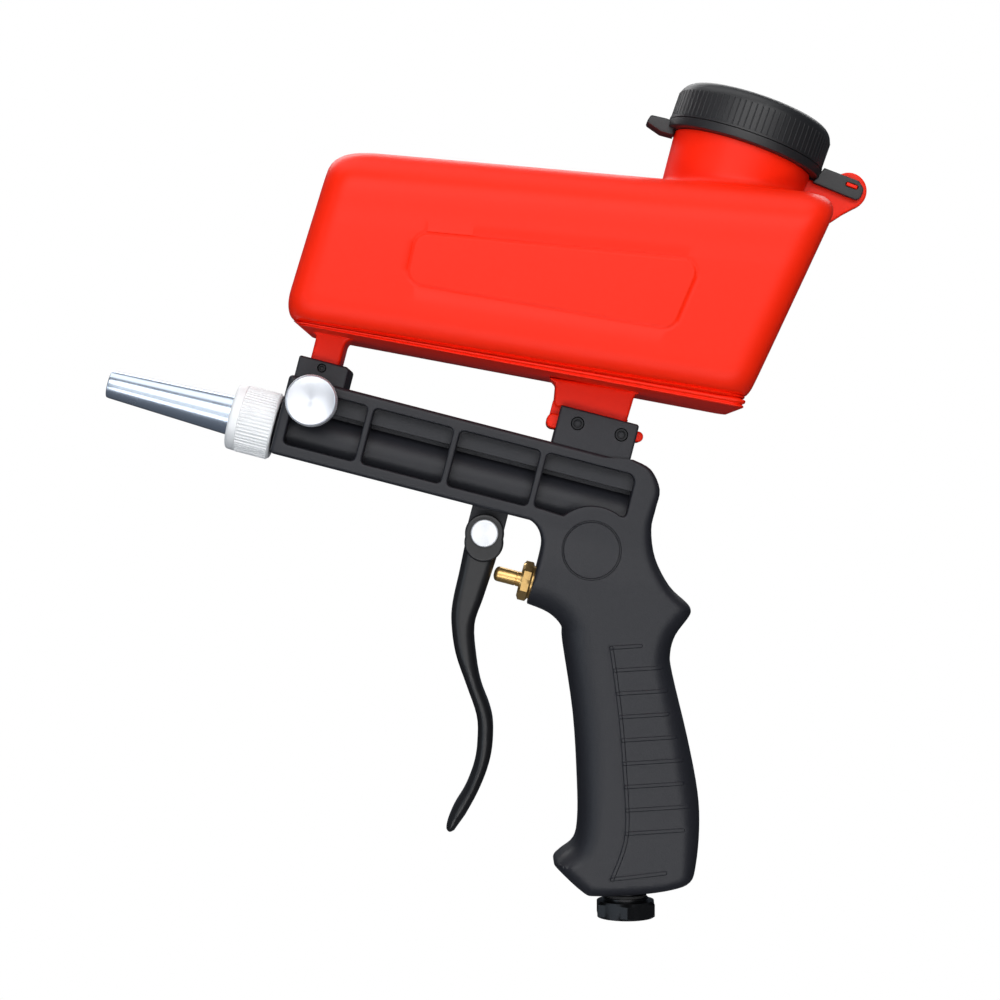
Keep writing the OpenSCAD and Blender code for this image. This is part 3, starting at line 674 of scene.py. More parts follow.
TOP = ends(sloped(*TOP_AT, -TOP_SLOPE))
LABEL_TOP = ends((LABEL[0][:2], LABEL[1][:2]))
LABEL_LOW = ends((LABEL[3][:2], LABEL[2][:2]))
SEAM = ends(((-104, 210.2), (37.8, 186.4)))
LOW = ends(sloped(-22.8, 193.1, -10.6))
LABEL_FRONT = (LABEL[0][:2], LABEL[3][:2])
LABEL_REAR = (LABEL[1][:2], LABEL[2][:2])


def between(a, b, t):
    return a + (b - a) * t


def section_loop(line, half, front_in, rear_in, corner, columns):
    """One rounded rectangle of the stack: near side, rear, far side, front."""
    ahead = (line[1] - line[0]) / np.linalg.norm(line[1] - line[0])
    s0, s1 = front_in, np.linalg.norm(line[1] - line[0]) - rear_in
    a, b = s0 + corner, s1 - corner
    side = np.array(columns(line[0], ahead, a, b))
    rear = arc_points(b, corner - half, corner, -90, 0, 7)[1:-1]
    across = np.linspace(corner - half, half - corner, 9)
    loop = [(s, -half) for s in side] + rear + [(s1, y) for y in across]
    loop += [(s, -y) for s, y in rear[::-1]] + [(s, half) for s in side[::-1]]
    front = arc_points(a, half - corner, corner, 90, 180, 7)[1:-1]
    loop += front + [(s0, -y) for y in across] + [(s, -y) for s, y in front[::-1]]
    loop = np.array(loop)
    flat = line[0] + loop[:, :1] * ahead
    return np.column_stack([flat[:, 0], loop[:, 1], flat[:, 1]])


def label_columns(at, ahead, a, b):
    """Places along a section, with columns just inside and outside the label's ends."""
    left, right = (np.dot(meet(at, at + ahead, (low, math.atan2(high[1] - low[1], high[0] - low[0]))) - at,
                          ahead) for low, high in (LABEL_FRONT, LABEL_REAR))
    corner = np.linspace(3 * STEP, 6, 14)
    return np.concatenate([np.linspace(a, left - 3 * STEP, 12), [left - STEP, left + STEP], left + corner,
                           np.linspace(left + 7, right - 7, 80), right - corner[::-1],
                           [right - STEP, right + STEP], np.linspace(right + 3 * STEP, b, 20)])


def plain_columns(at, ahead, a, b):
    return np.linspace(a, b, 24)


def loft(name, loops, sharp=SHARP):
    """Closed skin through loops of equal length, with flat ends."""
    n = len(loops[0])
    faces = [tuple(range(n)), tuple(reversed(range((len(loops) - 1) * n, len(loops) * n)))]
    for k in range(len(loops) - 1):
        faces += [(k * n + i, k * n + (i + 1) % n, (k + 1) * n + (i + 1) % n, (k + 1) * n + i)
                  for i in range(n)]
    return mesh_object(name, np.concatenate(loops), faces, sharp=sharp)


# %% [markdown]
# ## Hopper shell
# Rows run down from the flat top, over the big upper edges, past the label and in at the bottom
# to the bead above the seam. The label panel is a seventh of a millimetre proud, inside a shallow
# groove, as on blow-moulded bottles.

# %% Hopper shell
TOP_R, FRONT_R, REAR_R, ROLL_R = 15, 8, 9, 10
PLAN_R = 10


def bulge(t):
    return 0.35 * math.sin(math.pi * t)


shell_rows = []
LABEL_ROWS = [-0.035, -0.012, 0.012] + list(np.linspace(0.035, 0.965, 56)) + [0.988, 1.012, 1.035]
label_depth = np.linalg.norm(LABEL_TOP[0] - TOP[0])
for d in (0, 0.06, 0.25, 0.6, 1.1, 1.8, 2.8, 4, 5.6, 7.5, 9.6, 12, 15, 19, 23):
    shell_rows.append((between(TOP, LABEL_TOP, d / label_depth), SIDE_HALF - roll(d, TOP_R, TOP_R),
                       roll(d, FRONT_R, FRONT_R), roll(d, REAR_R, REAR_R)))
for t in LABEL_ROWS:
    shell_rows.append((between(LABEL_TOP, LABEL_LOW, t), SIDE_HALF + bulge((t + 1) / 3), 0, 0))
seam_depth = np.linalg.norm(SEAM[0] - LABEL_LOW[0])
for e in (12, ROLL_R, 8.2, 6.6, 5.2, 4, 3, 2.1, 1.4, 0.8, 0.4, 0.12):
    shell_rows.append((between(SEAM, LABEL_LOW, e / seam_depth), 39.1 - roll(e, ROLL_R, 5.4),
                       roll(e, ROLL_R, 4.5), roll(e, 4, 0.8)))
BEAD = [(0.03, 34.0, 4.2, 1.1), (0.07, 34.6, 3.9, 0.8), (0.14, 34.95, 3.7, 0.7), (0.21, 34.7, 3.9, 0.8),
        (0.26, 34.0, 4.4, 1.3), (0.28, 32.6, 5.8, 2.0), (0.36, 32.4, 6, 2.2)]
for t, half, front_in, rear_in in BEAD:
    shell_rows.append((between(SEAM, LOW, t), half, front_in, rear_in))
loops = [section_loop(line, half, a, b, PLAN_R, label_columns) for line, half, a, b in shell_rows]
label_loop = resampled(rounded(LABEL), 0.7)
for loop in loops:
    d = depth_in(loop[:, [0, 2]], label_loop)
    raised = RAISED * step_up(d, -STEP, STEP) - GROOVE * step_up(-np.abs(d), -3 * STEP, -STEP)
    raised = raised * (np.abs(loop[:, 1]) > SIDE_HALF - 0.5)
    loop[:, 1] += np.sign(loop[:, 1]) * raised
shell = loft("hopper_skin", loops)

hollow_rows = [(between(TOP, LABEL_TOP, (WALL + d) / label_depth), 36.9 - roll(d, 12.8, 12.8),
                WALL + roll(d, 9, 9), WALL + roll(d, 7, 7)) for d in (0, 0.2, 0.8, 2, 4, 7, 12.8)]
hollow_rows += [(between(SEAM, LABEL_LOW, e / seam_depth), 36.9 - roll(e, ROLL_R, 6.5),
                 WALL + roll(e, ROLL_R, 4.5), WALL + roll(e, 4, 0.8)) for e in (10, 6, 3, 1, 0.2)]
hollow_rows += [(LOW + (0, WALL), 29.5, 8, 4.5)]
hollow_loops = [section_loop(line, half, a, b, 8, plain_columns) for line, half, a, b in hollow_rows]
NECK_BORE = 21.6
bore_profile = [(0, -24), (NECK_BORE, -24), (NECK_BORE, 20), (0, 20)]
shell = cut(shell, [loft("hollow", hollow_loops), lathe("bore", bore_profile, ON_NECK)])
print("hopper shell", len(shell.data.polygons), "faces")

# %% [markdown]
# ## Filler neck
# The neck leans back and is blended into the hopper's top with a soft fillet. A lathe alone
# can't meet a sloping plane, so the fillet is a Bezier curve for each angle round the neck: it
# starts on the cone, is pulled towards the place where cone and top meet, and ends on the top.

# %% Filler neck
NECK_LOW_R, NECK_R, THREAD_R, NECK_TOP = 23.8, 25.6, 23.6, 13.6
FILLET = 4.0
NECK_SIDES = 120


def top_height(x, y):
    """Height of the hopper's top surface."""
    beyond = np.maximum(np.abs(y) - (SIDE_HALF - TOP_R), 0)
    flat = TOP_AT[1] - (x - TOP_AT[0]) * math.tan(math.radians(TOP_SLOPE))
    return flat - (TOP_R - np.sqrt(TOP_R ** 2 - beyond ** 2))


def neck_point(angle, w):
    """Point of the neck's cone in the gun's frame."""
    r = NECK_R + (NECK_R - NECK_LOW_R) / 21 * w
    x, z = tilted((r * math.cos(angle), w), NECK_AT, NECK_TILT)
    return np.array([x, r * math.sin(angle), z])


def neck_foot(angle):
    """Height along the neck at which its cone meets the hopper's top."""
    low, high = -27.0, 0.0
    for _ in range(30):
        middle = (low + high) / 2
        p = neck_point(angle, middle)
        low, high = (middle, high) if p[2] < top_height(p[0], p[1]) else (low, middle)
    return low


neck_rings = []
for angle in np.arange(NECK_SIDES) * 2 * math.pi / NECK_SIDES:
    foot = neck_foot(angle)
    start, pull = neck_point(angle, foot + FILLET), neck_point(angle, foot)
    out = np.array([math.cos(angle) * math.cos(NECK_TILT), math.sin(angle), 0])
    end = pull + FILLET * out
    end[2] = top_height(end[0], end[1]) - 0.03
    ring = [neck_point(angle, w) for w in np.linspace(-0.3, foot + FILLET, 6)[:-1]]
    ring += [(1 - t) ** 2 * start + 2 * t * (1 - t) * pull + t * t * end for t in np.linspace(0, 1, 9)]
    ring.append(end - (0, 0, 1.4))
    inner = tilted((NECK_BORE * math.cos(angle), foot - 0.8), NECK_AT, NECK_TILT)
    ring.append(np.array([inner[0], NECK_BORE * math.sin(angle), inner[1]]))
    for r, w in ([(NECK_BORE, NECK_TOP - 0.4), (NECK_BORE + 0.4, NECK_TOP), (THREAD_R - 0.5, NECK_TOP)]
                 + thread(THREAD_R, 0.8, 4.6, 12.4, 4)
                 + [(THREAD_R, 3.4), (24.8, 3.2), (24.8, 0), (NECK_R - 0.3, 0)]):
        x, z = tilted((r * math.cos(angle), w), NECK_AT, NECK_TILT)
        ring.append(np.array([x, r * math.sin(angle), z]))
    neck_rings.append(ring)
rows = len(neck_rings[0])
neck_faces = []
for i in range(NECK_SIDES):
    here, beside = i * rows, (i + 1) % NECK_SIDES * rows
    for k in range(rows):
        above = (k + 1) % rows
        neck_faces.append((here + k, beside + k, beside + above, here + above))
neck = mesh_object("neck", np.array(neck_rings).reshape(-1, 3), neck_faces)

ear_web = [(62.5, 265.6), (66, 264.9), (69.3, 263.8), (73, 265.8), (79.9, 267.4), (84, 255.6),
           (78, 252.4), (72.5, 248.8), (67, 248), (63.5, 255)]
ear = plate("ear", [circle(79.9, 260.8, 6.6), np.array(ear_web)], 2.6)
peg_centre = np.array([80.6, 262.2])
PEG_TILT = math.radians(20)
peg_flat = [(-2, -0.6), (2, -0.6), (2, 0.6), (-2, 0.6)]
peg = plate("peg", [tilted(peg_flat, peg_centre, PEG_TILT)], 5.9, across=0.3, grid=0.8)
shell = joined("hopper_shell_moulding", [shell, neck, ear, peg])
print("hopper shell with neck", len(shell.data.polygons), "faces")

# %% [markdown]
# ## Hopper base and feet
# Below the seam a separate red tray closes the hopper. It steps in to a groove, out to a flange
# and in again to a lip, and carries the front feed leg and the rear foot, whose rail slides
# into the rear saddle and shows as a round red nub at each end.

# %% Hopper base
TRAY = [(0.27, 32.2, 6.1, 2.3), (0.34, 32.9, 5.6, 1.3), (0.39, 33.5, 5.2, 0.6), (0.45, 33.8, 5.1, 0.3),
        (0.58, 33.8, 5.1, 0.2), (0.64, 33.6, 5.4, 0.3), (0.68, 33.2, 6, 0.6), (0.72, 32.9, 6.3, 0.8),
        (0.78, 32.8, 6.4, 0.7), (0.81, 33, 6.2, 0.4), (0.86, 33.2, 6, 0.1), (0.93, 33.2, 6, 0),
        (0.98, 32.9, 6.3, 0.2), (1.0, 32.3, 7, 0.8)]
tray_rows = [(between(SEAM, LOW, t), half, a, b) for t, half, a, b in TRAY]
tray = loft("tray", [section_loop(line, half, a, b, 4, plain_columns) for line, half, a, b in tray_rows])
feed = lathe("feed", [(0, 18), (3.8, 18), (3.8, 50), (0, 50)], on_barrel(-51.4, 0, 0), segments=32)
tray = cut(tray, [loft("hollow", hollow_loops), feed])

leg_outline = barrel(np.concatenate([
    rounded([(-56.5, 19.8, 0.6), (-45.9, 19.8, 0.6), (-45.9, 36.9, 3.4), (-40.5, 37.3, 0), (-40.5, 38.6, 0),
             (-60.5, 38.6, 0), (-60.5, 36.6, 0), (-56.5, 36, 2.5)])]))
leg = plate("leg", [leg_outline], 9, across=1.2, grid=1.4)
foot_outline = barrel(rounded([(31.4, 33.2, 1.2), (32.4, 32.2, 0.6), (58.2, 32.2, 0), (58.6, 43, 2),
                               (61.5, 45, 0), (27.5, 41.5, 0), (30.4, 39.6, 2)]))
foot = plate("foot", [foot_outline], 8, across=1.0, grid=1.4)
web = plate("foot_web", [barrel([(31, 28), (58.6, 28), (58.6, 34), (31, 34)])], 5, across=0.3, grid=2)
rail_from, rail_to = np.array([30.4, 26.75]), np.array([65.3, 29.2])
rail_slope = -math.atan2(*(rail_to - rail_from)[::-1])
rail_long = np.linalg.norm(rail_to - rail_from)
rail_flat = rounded([(0, -2.75, 2.2), (rail_long, -2, 1.8), (rail_long, 1.7, 1.8), (0, 2.75, 2.2)])
rail = plate("foot_rail", [barrel(tilted(rail_flat, rail_from, rail_slope))], 8, across=1.0, grid=1.4)
base = joined("hopper_base_moulding", [tray, leg, foot, web, rail])
print("hopper base", len(base.data.polygons), "faces")

# %% [markdown]
# ## Rings of ribs with Geometry Nodes
# The nozzle nut, the cap and the knob all have fine ribs round them. One node tree makes such a
# ring: a circle of points, a slim bar on each point, then plain geometry with its material. By
# hand it would be 60 copies to place, and the count or the radius could not be changed later.
# Two short helpers, added() and new_tree(), write this tree and the shader trees below.

# %% Rib tree
def added(tree, kind, sources=(), **settings):
    """New node. Each source gives an input a value, or another node's output."""
    node = tree.nodes.new(kind)
    for name, value in settings.items():
        setattr(node, name, value)
    for key, source in dict(sources).items():
        if isinstance(source, bpy.types.NodeSocket):
            tree.links.new(source, node.inputs[key])
        else:
            node.inputs[key].default_value = source
    return node


def new_tree(name, kind, inputs, outputs):
    """A node group, and the sockets that bring its inputs."""
    tree = bpy.data.node_groups.new(name, kind)
    for label, sort, value in inputs:
        socket = tree.interface.new_socket(label, in_out="INPUT", socket_type="NodeSocket" + sort)
        if value is not None:
            socket.default_value = value
    for label, sort in outputs:
        tree.interface.new_socket(label, in_out="OUTPUT", socket_type="NodeSocket" + sort)
    return tree, tree.nodes.new("NodeGroupInput").outputs


RIB_SIDES = 8
rib_tree, given = new_tree("ring_of_ribs", "GeometryNodeTree", [
    ("Count", "Int", 60), ("Radius", "Float", 12.0), ("Rib radius", "Float", 0.4),
    ("Rib length", "Float", 10.0), ("Start", "Float", 0.0), ("Finish", "Material", None)],
    [("Geometry", "Geometry")])
points = added(rib_tree, "GeometryNodeMeshCircle", {"Vertices": given["Count"], "Radius": given["Radius"]})
bar = added(rib_tree, "GeometryNodeMeshCylinder", {
    "Vertices": RIB_SIDES, "Radius": given["Rib radius"], "Depth": given["Rib length"]})
lift = added(rib_tree, "ShaderNodeCombineXYZ", {"Z": given["Start"]})
shift = added(rib_tree, "GeometryNodeTransform", {
    "Geometry": bar.outputs["Mesh"], "Translation": lift.outputs[0]})
on_points = added(rib_tree, "GeometryNodeInstanceOnPoints", {
    "Points": points.outputs["Mesh"], "Instance": shift.outputs["Geometry"]})
plain = added(rib_tree, "GeometryNodeRealizeInstances", {"Geometry": on_points.outputs["Instances"]})
coloured = added(rib_tree, "GeometryNodeSetMaterial", {
    "Geometry": plain.outputs["Geometry"], "Material": given["Finish"]})
added(rib_tree, "NodeGroupOutput", {"Geometry": coloured.outputs["Geometry"]})


def ribs(name, matrix, material, **sizes):
    """A ring of ribs as a plain mesh. Sizes are named like the tree's inputs."""
    obj = linked(name, bpy.data.meshes.new(name))
    modifier = obj.modifiers.new("ribs", "NODES")
    modifier.node_group = rib_tree
    values = {label.replace("_", " "): value for label, value in sizes.items()}
    for item in rib_tree.interface.items_tree:
        if item.in_out == "INPUT":
            modifier[item.identifier] = material if item.name == "Finish" else values[item.name]
    made_plain(obj)
    obj.data.transform(matrix)
    print(name, len(obj.data.polygons), "faces")
    return obj


print("rib tree", len(rib_tree.nodes), "nodes")

# %% [markdown]
# ## Shared effects
# Moulded plastic has a fine grain, uneven tone and a little handling dust, and turned metal has
# rings. More than one finish uses each of these, so each is a shader group with named inputs,
# and it gives out only colours, masks and heights. Object coordinates hold the pattern still
# on the piece while it moves.

# %% Shader groups
def shader_math(tree, operation, a, b):
    return added(tree, "ShaderNodeMath", {0: a, 1: b}, operation=operation).outputs[0]


def noise(tree, scale, detail):
    place = added(tree, "ShaderNodeTexCoord").outputs["Object"]
    return added(tree, "ShaderNodeTexNoise", {"Detail": detail, "Scale": scale, "Vector": place}).outputs[0]


SPECKS_A_CLOUD = 22.0
ROUGHNESS_SWING = 0.12

grain, given = new_tree("moulded_grain", "ShaderNodeTree", [
    ("Fine scale", "Float", 1500.0), ("Wave scale", "Float", 45.0), ("Wave share", "Float", 0.0)],
    [("Height", "Float")])
fine = noise(grain, given["Fine scale"], 3)
wave = shader_math(grain, "MULTIPLY", noise(grain, given["Wave scale"], 1), given["Wave share"])
added(grain, "NodeGroupOutput", {"Height": shader_math(grain, "ADD", fine, wave)})

tone, given = new_tree("uneven_tone", "ShaderNodeTree", [
    ("Base", "Color", (0.5, 0.5, 0.5, 1)), ("Dust", "Color", (0.6, 0.6, 0.6, 1)), ("Spread", "Float", 0.08),
    ("Scale", "Float", 30.0), ("Dust amount", "Float", 0.05), ("Roughness", "Float", 0.4)],
    [("Colour", "Color"), ("Roughness", "Float")])
cloud = noise(tone, given["Scale"], 4)
speck = noise(tone, shader_math(tone, "MULTIPLY", given["Scale"], SPECKS_A_CLOUD), 2)
swing = shader_math(tone, "SUBTRACT", cloud, 0.5)
lightness = shader_math(tone, "ADD", 1.0, shader_math(tone, "MULTIPLY", swing, given["Spread"]))
scaled = added(tone, "ShaderNodeVectorMath", {0: given["Base"], "Scale": lightness}, operation="SCALE")
dust_mask = shader_math(tone, "MULTIPLY", shader_math(tone, "MULTIPLY", cloud, speck), given["Dust amount"])
dusty = added(tone, "ShaderNodeMix", {"Factor": dust_mask, "A": scaled.outputs[0], "B": given["Dust"]},
              data_type="RGBA")
rougher = shader_math(tone, "MULTIPLY", swing, ROUGHNESS_SWING)
added(tone, "NodeGroupOutput", {
    "Colour": dusty.outputs["Result"],
    "Roughness": shader_math(tone, "ADD", given["Roughness"], rougher)})

rings, given = new_tree("turned_rings", "ShaderNodeTree", [
    ("Place", "Vector", (0, 0, 0)), ("Rings a metre", "Float", 3000.0)], [("Height", "Float")])
along = added(rings, "ShaderNodeSeparateXYZ", {0: given["Place"]}).outputs["X"]
marks = added(rings, "ShaderNodeTexNoise", {
    "Detail": 3, "Scale": 1, "W": shader_math(rings, "MULTIPLY", along, given["Rings a metre"])},
    noise_dimensions="1D")
added(rings, "NodeGroupOutput", {"Height": marks.outputs[0]})
print("shader groups", [g.name for g in bpy.data.node_groups])

# %% [markdown]
# ## Finishes
# Each finish is one short function call: satin black plastic for the body, a glossier black for
# the trigger, red polyethylene, rubber, and five metals. Colours are linear values turned from
# the hexadecimal ones that a maker would quote.

# %% Plastics
def linear(code):
    """Linear colour of a hexadecimal one."""
    values = [int(code[i:i + 2], 16) / 255 for i in (0, 2, 4)]
    return [v / 12.92 if v <= 0.04045 else ((v + 0.055) / 1.055) ** 2.4 for v in values] + [1]


def place_group(tree, group, **values):
    """Uses a shader group. Underscores stand for the spaces in its labels."""
    sources = {label.replace("_", " "): value for label, value in values.items()}
    return added(tree, "ShaderNodeGroup", sources, node_tree=group)


def new_finish(name, colour, roughness, dust, dust_amount, spread, scale):
    """A material whose colour and roughness come from the uneven tone."""
    material = bpy.data.materials.new(name)
    material.use_nodes = True
    tree = material.node_tree
    shader = tree.nodes["Principled BSDF"]
    look = place_group(tree, tone, Base=linear(colour), Dust=linear(dust), Spread=spread, Scale=scale,
                       Dust_amount=dust_amount, Roughness=roughness)
    tree.links.new(look.outputs["Colour"], shader.inputs["Base Color"])
    tree.links.new(look.outputs["Roughness"], shader.inputs["Roughness"])
    return material, tree, shader


def bump(tree, shader, height, depth):
    node = added(tree, "ShaderNodeBump", {"Distance": depth, "Height": height})
    tree.links.new(node.outputs["Normal"], shader.inputs["Normal"])


def plastic(name, colour, roughness, dust="8c8a88", dust_amount=0.06, spread=0.1, fine=1500, depth=3e-5,
            wave=0.0, specular=0.5):
    material, tree, shader = new_finish(name, colour, roughness, dust, dust_amount, spread, 28.0)
    surface = place_group(tree, grain, Fine_scale=float(fine), Wave_share=wave)
    bump(tree, shader, surface.outputs["Height"], depth)
    shader.inputs["Specular IOR Level"].default_value = specular
    return material


finishes = {
    "body_black": plastic("satin_black_plastic", "1d1e24", 0.5, dust_amount=0.03, depth=4e-5,
                          specular=0.42),
    "trigger_black": plastic("trigger_black_plastic", "19191b", 0.36, dust_amount=0.02, fine=1900,
                             depth=2e-5),
    "cap_black": plastic("cap_black_plastic", "1d1d1f", 0.45, dust_amount=0.03, fine=1700, depth=3e-5),
    "hopper_red": plastic("red_polyethylene", "ff2604", 0.42, dust="ff8f80", dust_amount=0.03, spread=0.05,
                          fine=900, depth=2e-5, wave=1.2, specular=0.2),
    "seal_rubber": plastic("seal_rubber", "1b1b1c", 0.75, dust_amount=0.12, fine=2500, depth=3e-5),
}
print("plastics", sorted(finishes))

# %% [markdown]
# ## Metals
# Turned metal scatters light across its tool marks, so the knob's flat face shows bright conic
# wedges. That comes from an anisotropic shader whose tangent runs round the axis. The marks
# themselves are one-dimensional noise along the turning direction.

# %% Metals
def vector_math(tree, operation, *values):
    return added(tree, "ShaderNodeVectorMath", dict(enumerate(values)), operation=operation).outputs


def metal(name, colour, roughness, centre=None, tilt=0.0, ring_count=2500.0, depth=4e-6, metallic=1.0,
          spun=0.0):
    """Turned metal. centre is a point on a Y axis, or else the marks run along a tilted X axis."""
    material, tree, shader = new_finish(name, colour, roughness, "b8b2a8", 0.04, 0.06, 60.0)
    shader.inputs["Metallic"].default_value = metallic
    place = added(tree, "ShaderNodeTexCoord").outputs["Object"]
    if centre is None:
        place = added(tree, "ShaderNodeMapping", {"Vector": place, "Rotation": (0, -tilt, 0)}).outputs[0]
    else:
        offset = vector_math(tree, "SUBTRACT", place, (centre[0] * MM, 0, centre[1] * MM))[0]
        flat = vector_math(tree, "MULTIPLY", offset, (1, 0, 1))[0]
        radius = vector_math(tree, "LENGTH", flat)["Value"]
        place = added(tree, "ShaderNodeCombineXYZ", {"X": radius}).outputs[0]
        around = vector_math(tree, "CROSS_PRODUCT", flat, (0, 1, 0))[0]
        tangent = added(tree, "ShaderNodeVectorTransform", {0: around},
                        convert_from="OBJECT", convert_to="WORLD")
        tree.links.new(tangent.outputs[0], shader.inputs["Tangent"])
        shader.inputs["Anisotropic"].default_value = spun
    marks = place_group(tree, rings, Rings_a_metre=ring_count, Place=place)
    bump(tree, shader, marks.outputs["Height"], depth)
    return material


finishes.update({
    "polished_steel": metal("polished_steel", "d0dcec", 0.26, tilt=BARREL_TILT, depth=3e-6, metallic=0.95),
    "brass": metal("brass", "deb673", 0.3, tilt=BARREL_TILT, ring_count=3500.0, metallic=0.85),
    "dark_steel": metal("blackened_steel", "1f2023", 0.3, tilt=0.0, metallic=0.7, depth=4e-6),
    "bright_aluminium": metal("spun_aluminium", "dfe2e8", 0.36, centre=barrel(BOSS), spun=0.7, depth=9e-6,
                              metallic=0.7),
    "blasted_aluminium": metal("blasted_aluminium", "f6f7f8", 0.5, tilt=BARREL_TILT, metallic=0.2,
                               depth=1.2e-5),
})
pin_finish = metal("pin_face", "eceef1", 0.45, centre=barrel(PIN), spun=0.3, metallic=0.5, depth=3e-6)
print("finishes", sorted(finishes))

# %% [markdown]
# ## Nozzle, nut, knob and pin
# These are turned parts. The nozzle is a long polished taper with a rounded mouth and a real
# bore, the nut a ribbed collar with a smooth front band, the knob a knurled disc.

# %% Turned metal parts
nozzle = lathe("nozzle_turned", [
    (3.25, -125.1), (4.5, -125.1)] + arc_points(4.5, -124.65, 0.45, -90, 0)
    + [(5.05 + 2.15 * t, -124 + 44.7 * t) for t in np.linspace(0, 1, 12)]
    + [(7.2, -74.2), (8.6, -74.2), (8.6, -71.7), (4.8, -71.7), (4.3, -90)],
    on_barrel(0, 0, 0, TO_REAR), 128)

nut_body = lathe("nut", [(7.5, -79.3), (10.6, -79.3)] + arc_points(10.6, -78, 1.3, -90, -10)
                 + [(11.95, -77.2), (12.0, -75.9), (11.7, -75.6), (11.7, -64.1)]
                 + arc_points(10.9, -63.8, 0.8, 0, 90) + [(9.7, -63), (9.7, -75), (7.5, -75)],
                 on_barrel(0, 0, 0, TO_REAR), 116)
nut_ribs = ribs("nut_ribs", on_barrel(0, 0, 0, TO_REAR), finishes["blasted_aluminium"],
                Count=58, Radius=11.72, Rib_radius=0.42, Rib_length=11.6, Start=-69.7)
nut = joined("nozzle_nut_ribbed", [nut_body, nut_ribs], 45)

knob_body = lathe("knob", [(0, 22.35), (8.2, 22.45)] + arc_points(8.35, 21.9, 0.7, 80, 10, 4)
                  + [(9.0, 21.4), (9.0, 16.1), (8.4, 15.4), (3.5, 15.4), (3.5, 20), (0, 20)],
                  on_barrel(*BOSS[:1], 0, BOSS[1], TO_NEAR), 120)
knob_ribs = ribs("knob_knurl", on_barrel(BOSS[0], 0, BOSS[1], TO_NEAR), finishes["bright_aluminium"],
                 Count=84, Radius=8.98, Rib_radius=0.2, Rib_length=5, Start=18.7)
knob = joined("flow_knob_spun", [knob_body, knob_ribs], 40)

pin = lathe("trigger_pin_turned", [(0, 11.62)] + [(4.2, 11.7)] + arc_points(4.3, 11.1, 0.6, 85, 0, 5)
            + [(4.9, 9.95), (4.7, 9.8), (2.5, 9.8), (2.5, -10.4), (1.9, -10.5), (1.9, -11.1), (2.5, -11.2),
               (2.5, -11.9), (2.2, -12.2), (0, -12.2)], on_barrel(PIN[0], 0, PIN[1], TO_NEAR), 72)

# %% [markdown]
# ## Saddle screws
# Two small screws a side fix the feed leg, and two longer ones pass through the rear saddle.
# Each is a lathe profile with a bevelled head and a socket.

# %% Saddle screws
TO_FAR = Matrix.Rotation(math.radians(-90), 4, "X")      # turns a part's Z axis to +y
HEAD_R, SHANK_R = 2.3, 1.5
SOCKET_DEEP, SOCKET_EDGE, HEAD_EDGE = 2.6, 0.15, 0.25


def screw(name, head, shank, socket, top, under, tip, matrix):
    profile = [(0, top - SOCKET_DEEP), (socket, top - SOCKET_DEEP), (socket, top - SOCKET_EDGE),
               (socket + SOCKET_EDGE, top), (head - HEAD_EDGE, top), (head, top - HEAD_EDGE),
               (head, under), (shank, under), (shank, tip), (0, tip)]
    return lathe(name, profile, matrix, 48, sharp=25)


rear_screws = joined("rear_saddle_screws_set", [
    screw("rear_screw", HEAD_R, SHANK_R, 1.3, 12.2, 10.7, -10, on_barrel(u, 0, w, TO_NEAR))
    for u, w in SCREWS], 25)
front_screws = joined("front_saddle_screws_set", [
    screw("front_screw", 1.4, 0.75, 0.7, 12, 9.2, 6.2, on_barrel(FRONT_SCREW[0], 0, FRONT_SCREW[1], turn))
    for turn in (TO_NEAR, TO_FAR)], 25)

# %% [markdown]
# ## Air valve and inlet
# The brass stem with its gland nut sits behind the trigger and the black inlet hexagon under
# the grip. A hexagon is a lathe profile whose radius is capped by the six flats, so that its
# chamfers come out curved where they cross the corners, as a turned and milled nut's do.

# %% Valve and inlet
STEM_W = -31.1
stem = lathe("valve_stem_turned", [(0, 25.9), (0.9, 25.95), (1.7, 26.2), (2.3, 26.6), (2.62, 27.1),
                                   (2.7, 27.6), (2.7, 33.9), (2.5, 34.05), (2.5, 34.3), (2.7, 34.45),
                                   (2.7, 50.5), (1.6, 50.5), (1.6, 62.6), (0, 62.6)],
             on_barrel(0, 0, STEM_W, TO_REAR), 48)
GLAND_R = 7.2                                              # to the hexagon's corners
gland = lathe("gland_nut_hex", [(2.85, 35.6), (5.9, 35.6), (GLAND_R, 36.35), (GLAND_R, 38.95),
                                (5.9, 39.7), (5.6, 39.7), (5.6, 48.4), (4.5, 48.4), (4.5, 44.2),
                                (2.85, 44.2)],
              on_barrel(0, 0, STEM_W, TO_REAR), 96, sharp=25,
              limit=hexagon(GLAND_R * math.cos(math.pi / 6)))
flange = lathe("gland_shoulder", [(2.85, 39.6), (6, 39.6), (6, 40.1), (2.85, 40.1)],
               on_barrel(0, 0, STEM_W, TO_REAR), 48)
gland = joined("gland_nut_hex", [gland, flange], 25)

inlet_hex = lathe("inlet_hex", [(5.72, 0.5), (6.3, 0), (10.2, 0), (11.72, 0.9), (11.72, 5.1), (10.2, 6),
                                (5.72, 6)],
                  Matrix.Rotation(math.radians(30), 4, "Z") @ Matrix.Scale(MM, 4), 96, sharp=22,
                  limit=hexagon(10.15))
collar = lathe("inlet_collar", [(5.72, 5.5), (7.3, 5.5), (7.3, 6.35), (8, 6.5), (8, 7.15), (6.5, 7.2),
                                (6.5, 19.5), (5, 19.5), (5, 12), (5.72, 12)]
               + thread(5.3, 0.42, 1, 11.5, 1.34),
                Matrix.Scale(MM, 4), 72, sharp=30)
inlet = joined("inlet_fitting_hex", [inlet_hex, collar], 25)

# %% [markdown]
# ## Cap and tether
# The screw cap has a big soft top edge and fine ribs. Under it sits a smooth tether ring with a
# small tongue at the front and a strap whose slot hooks on the hopper's ear.

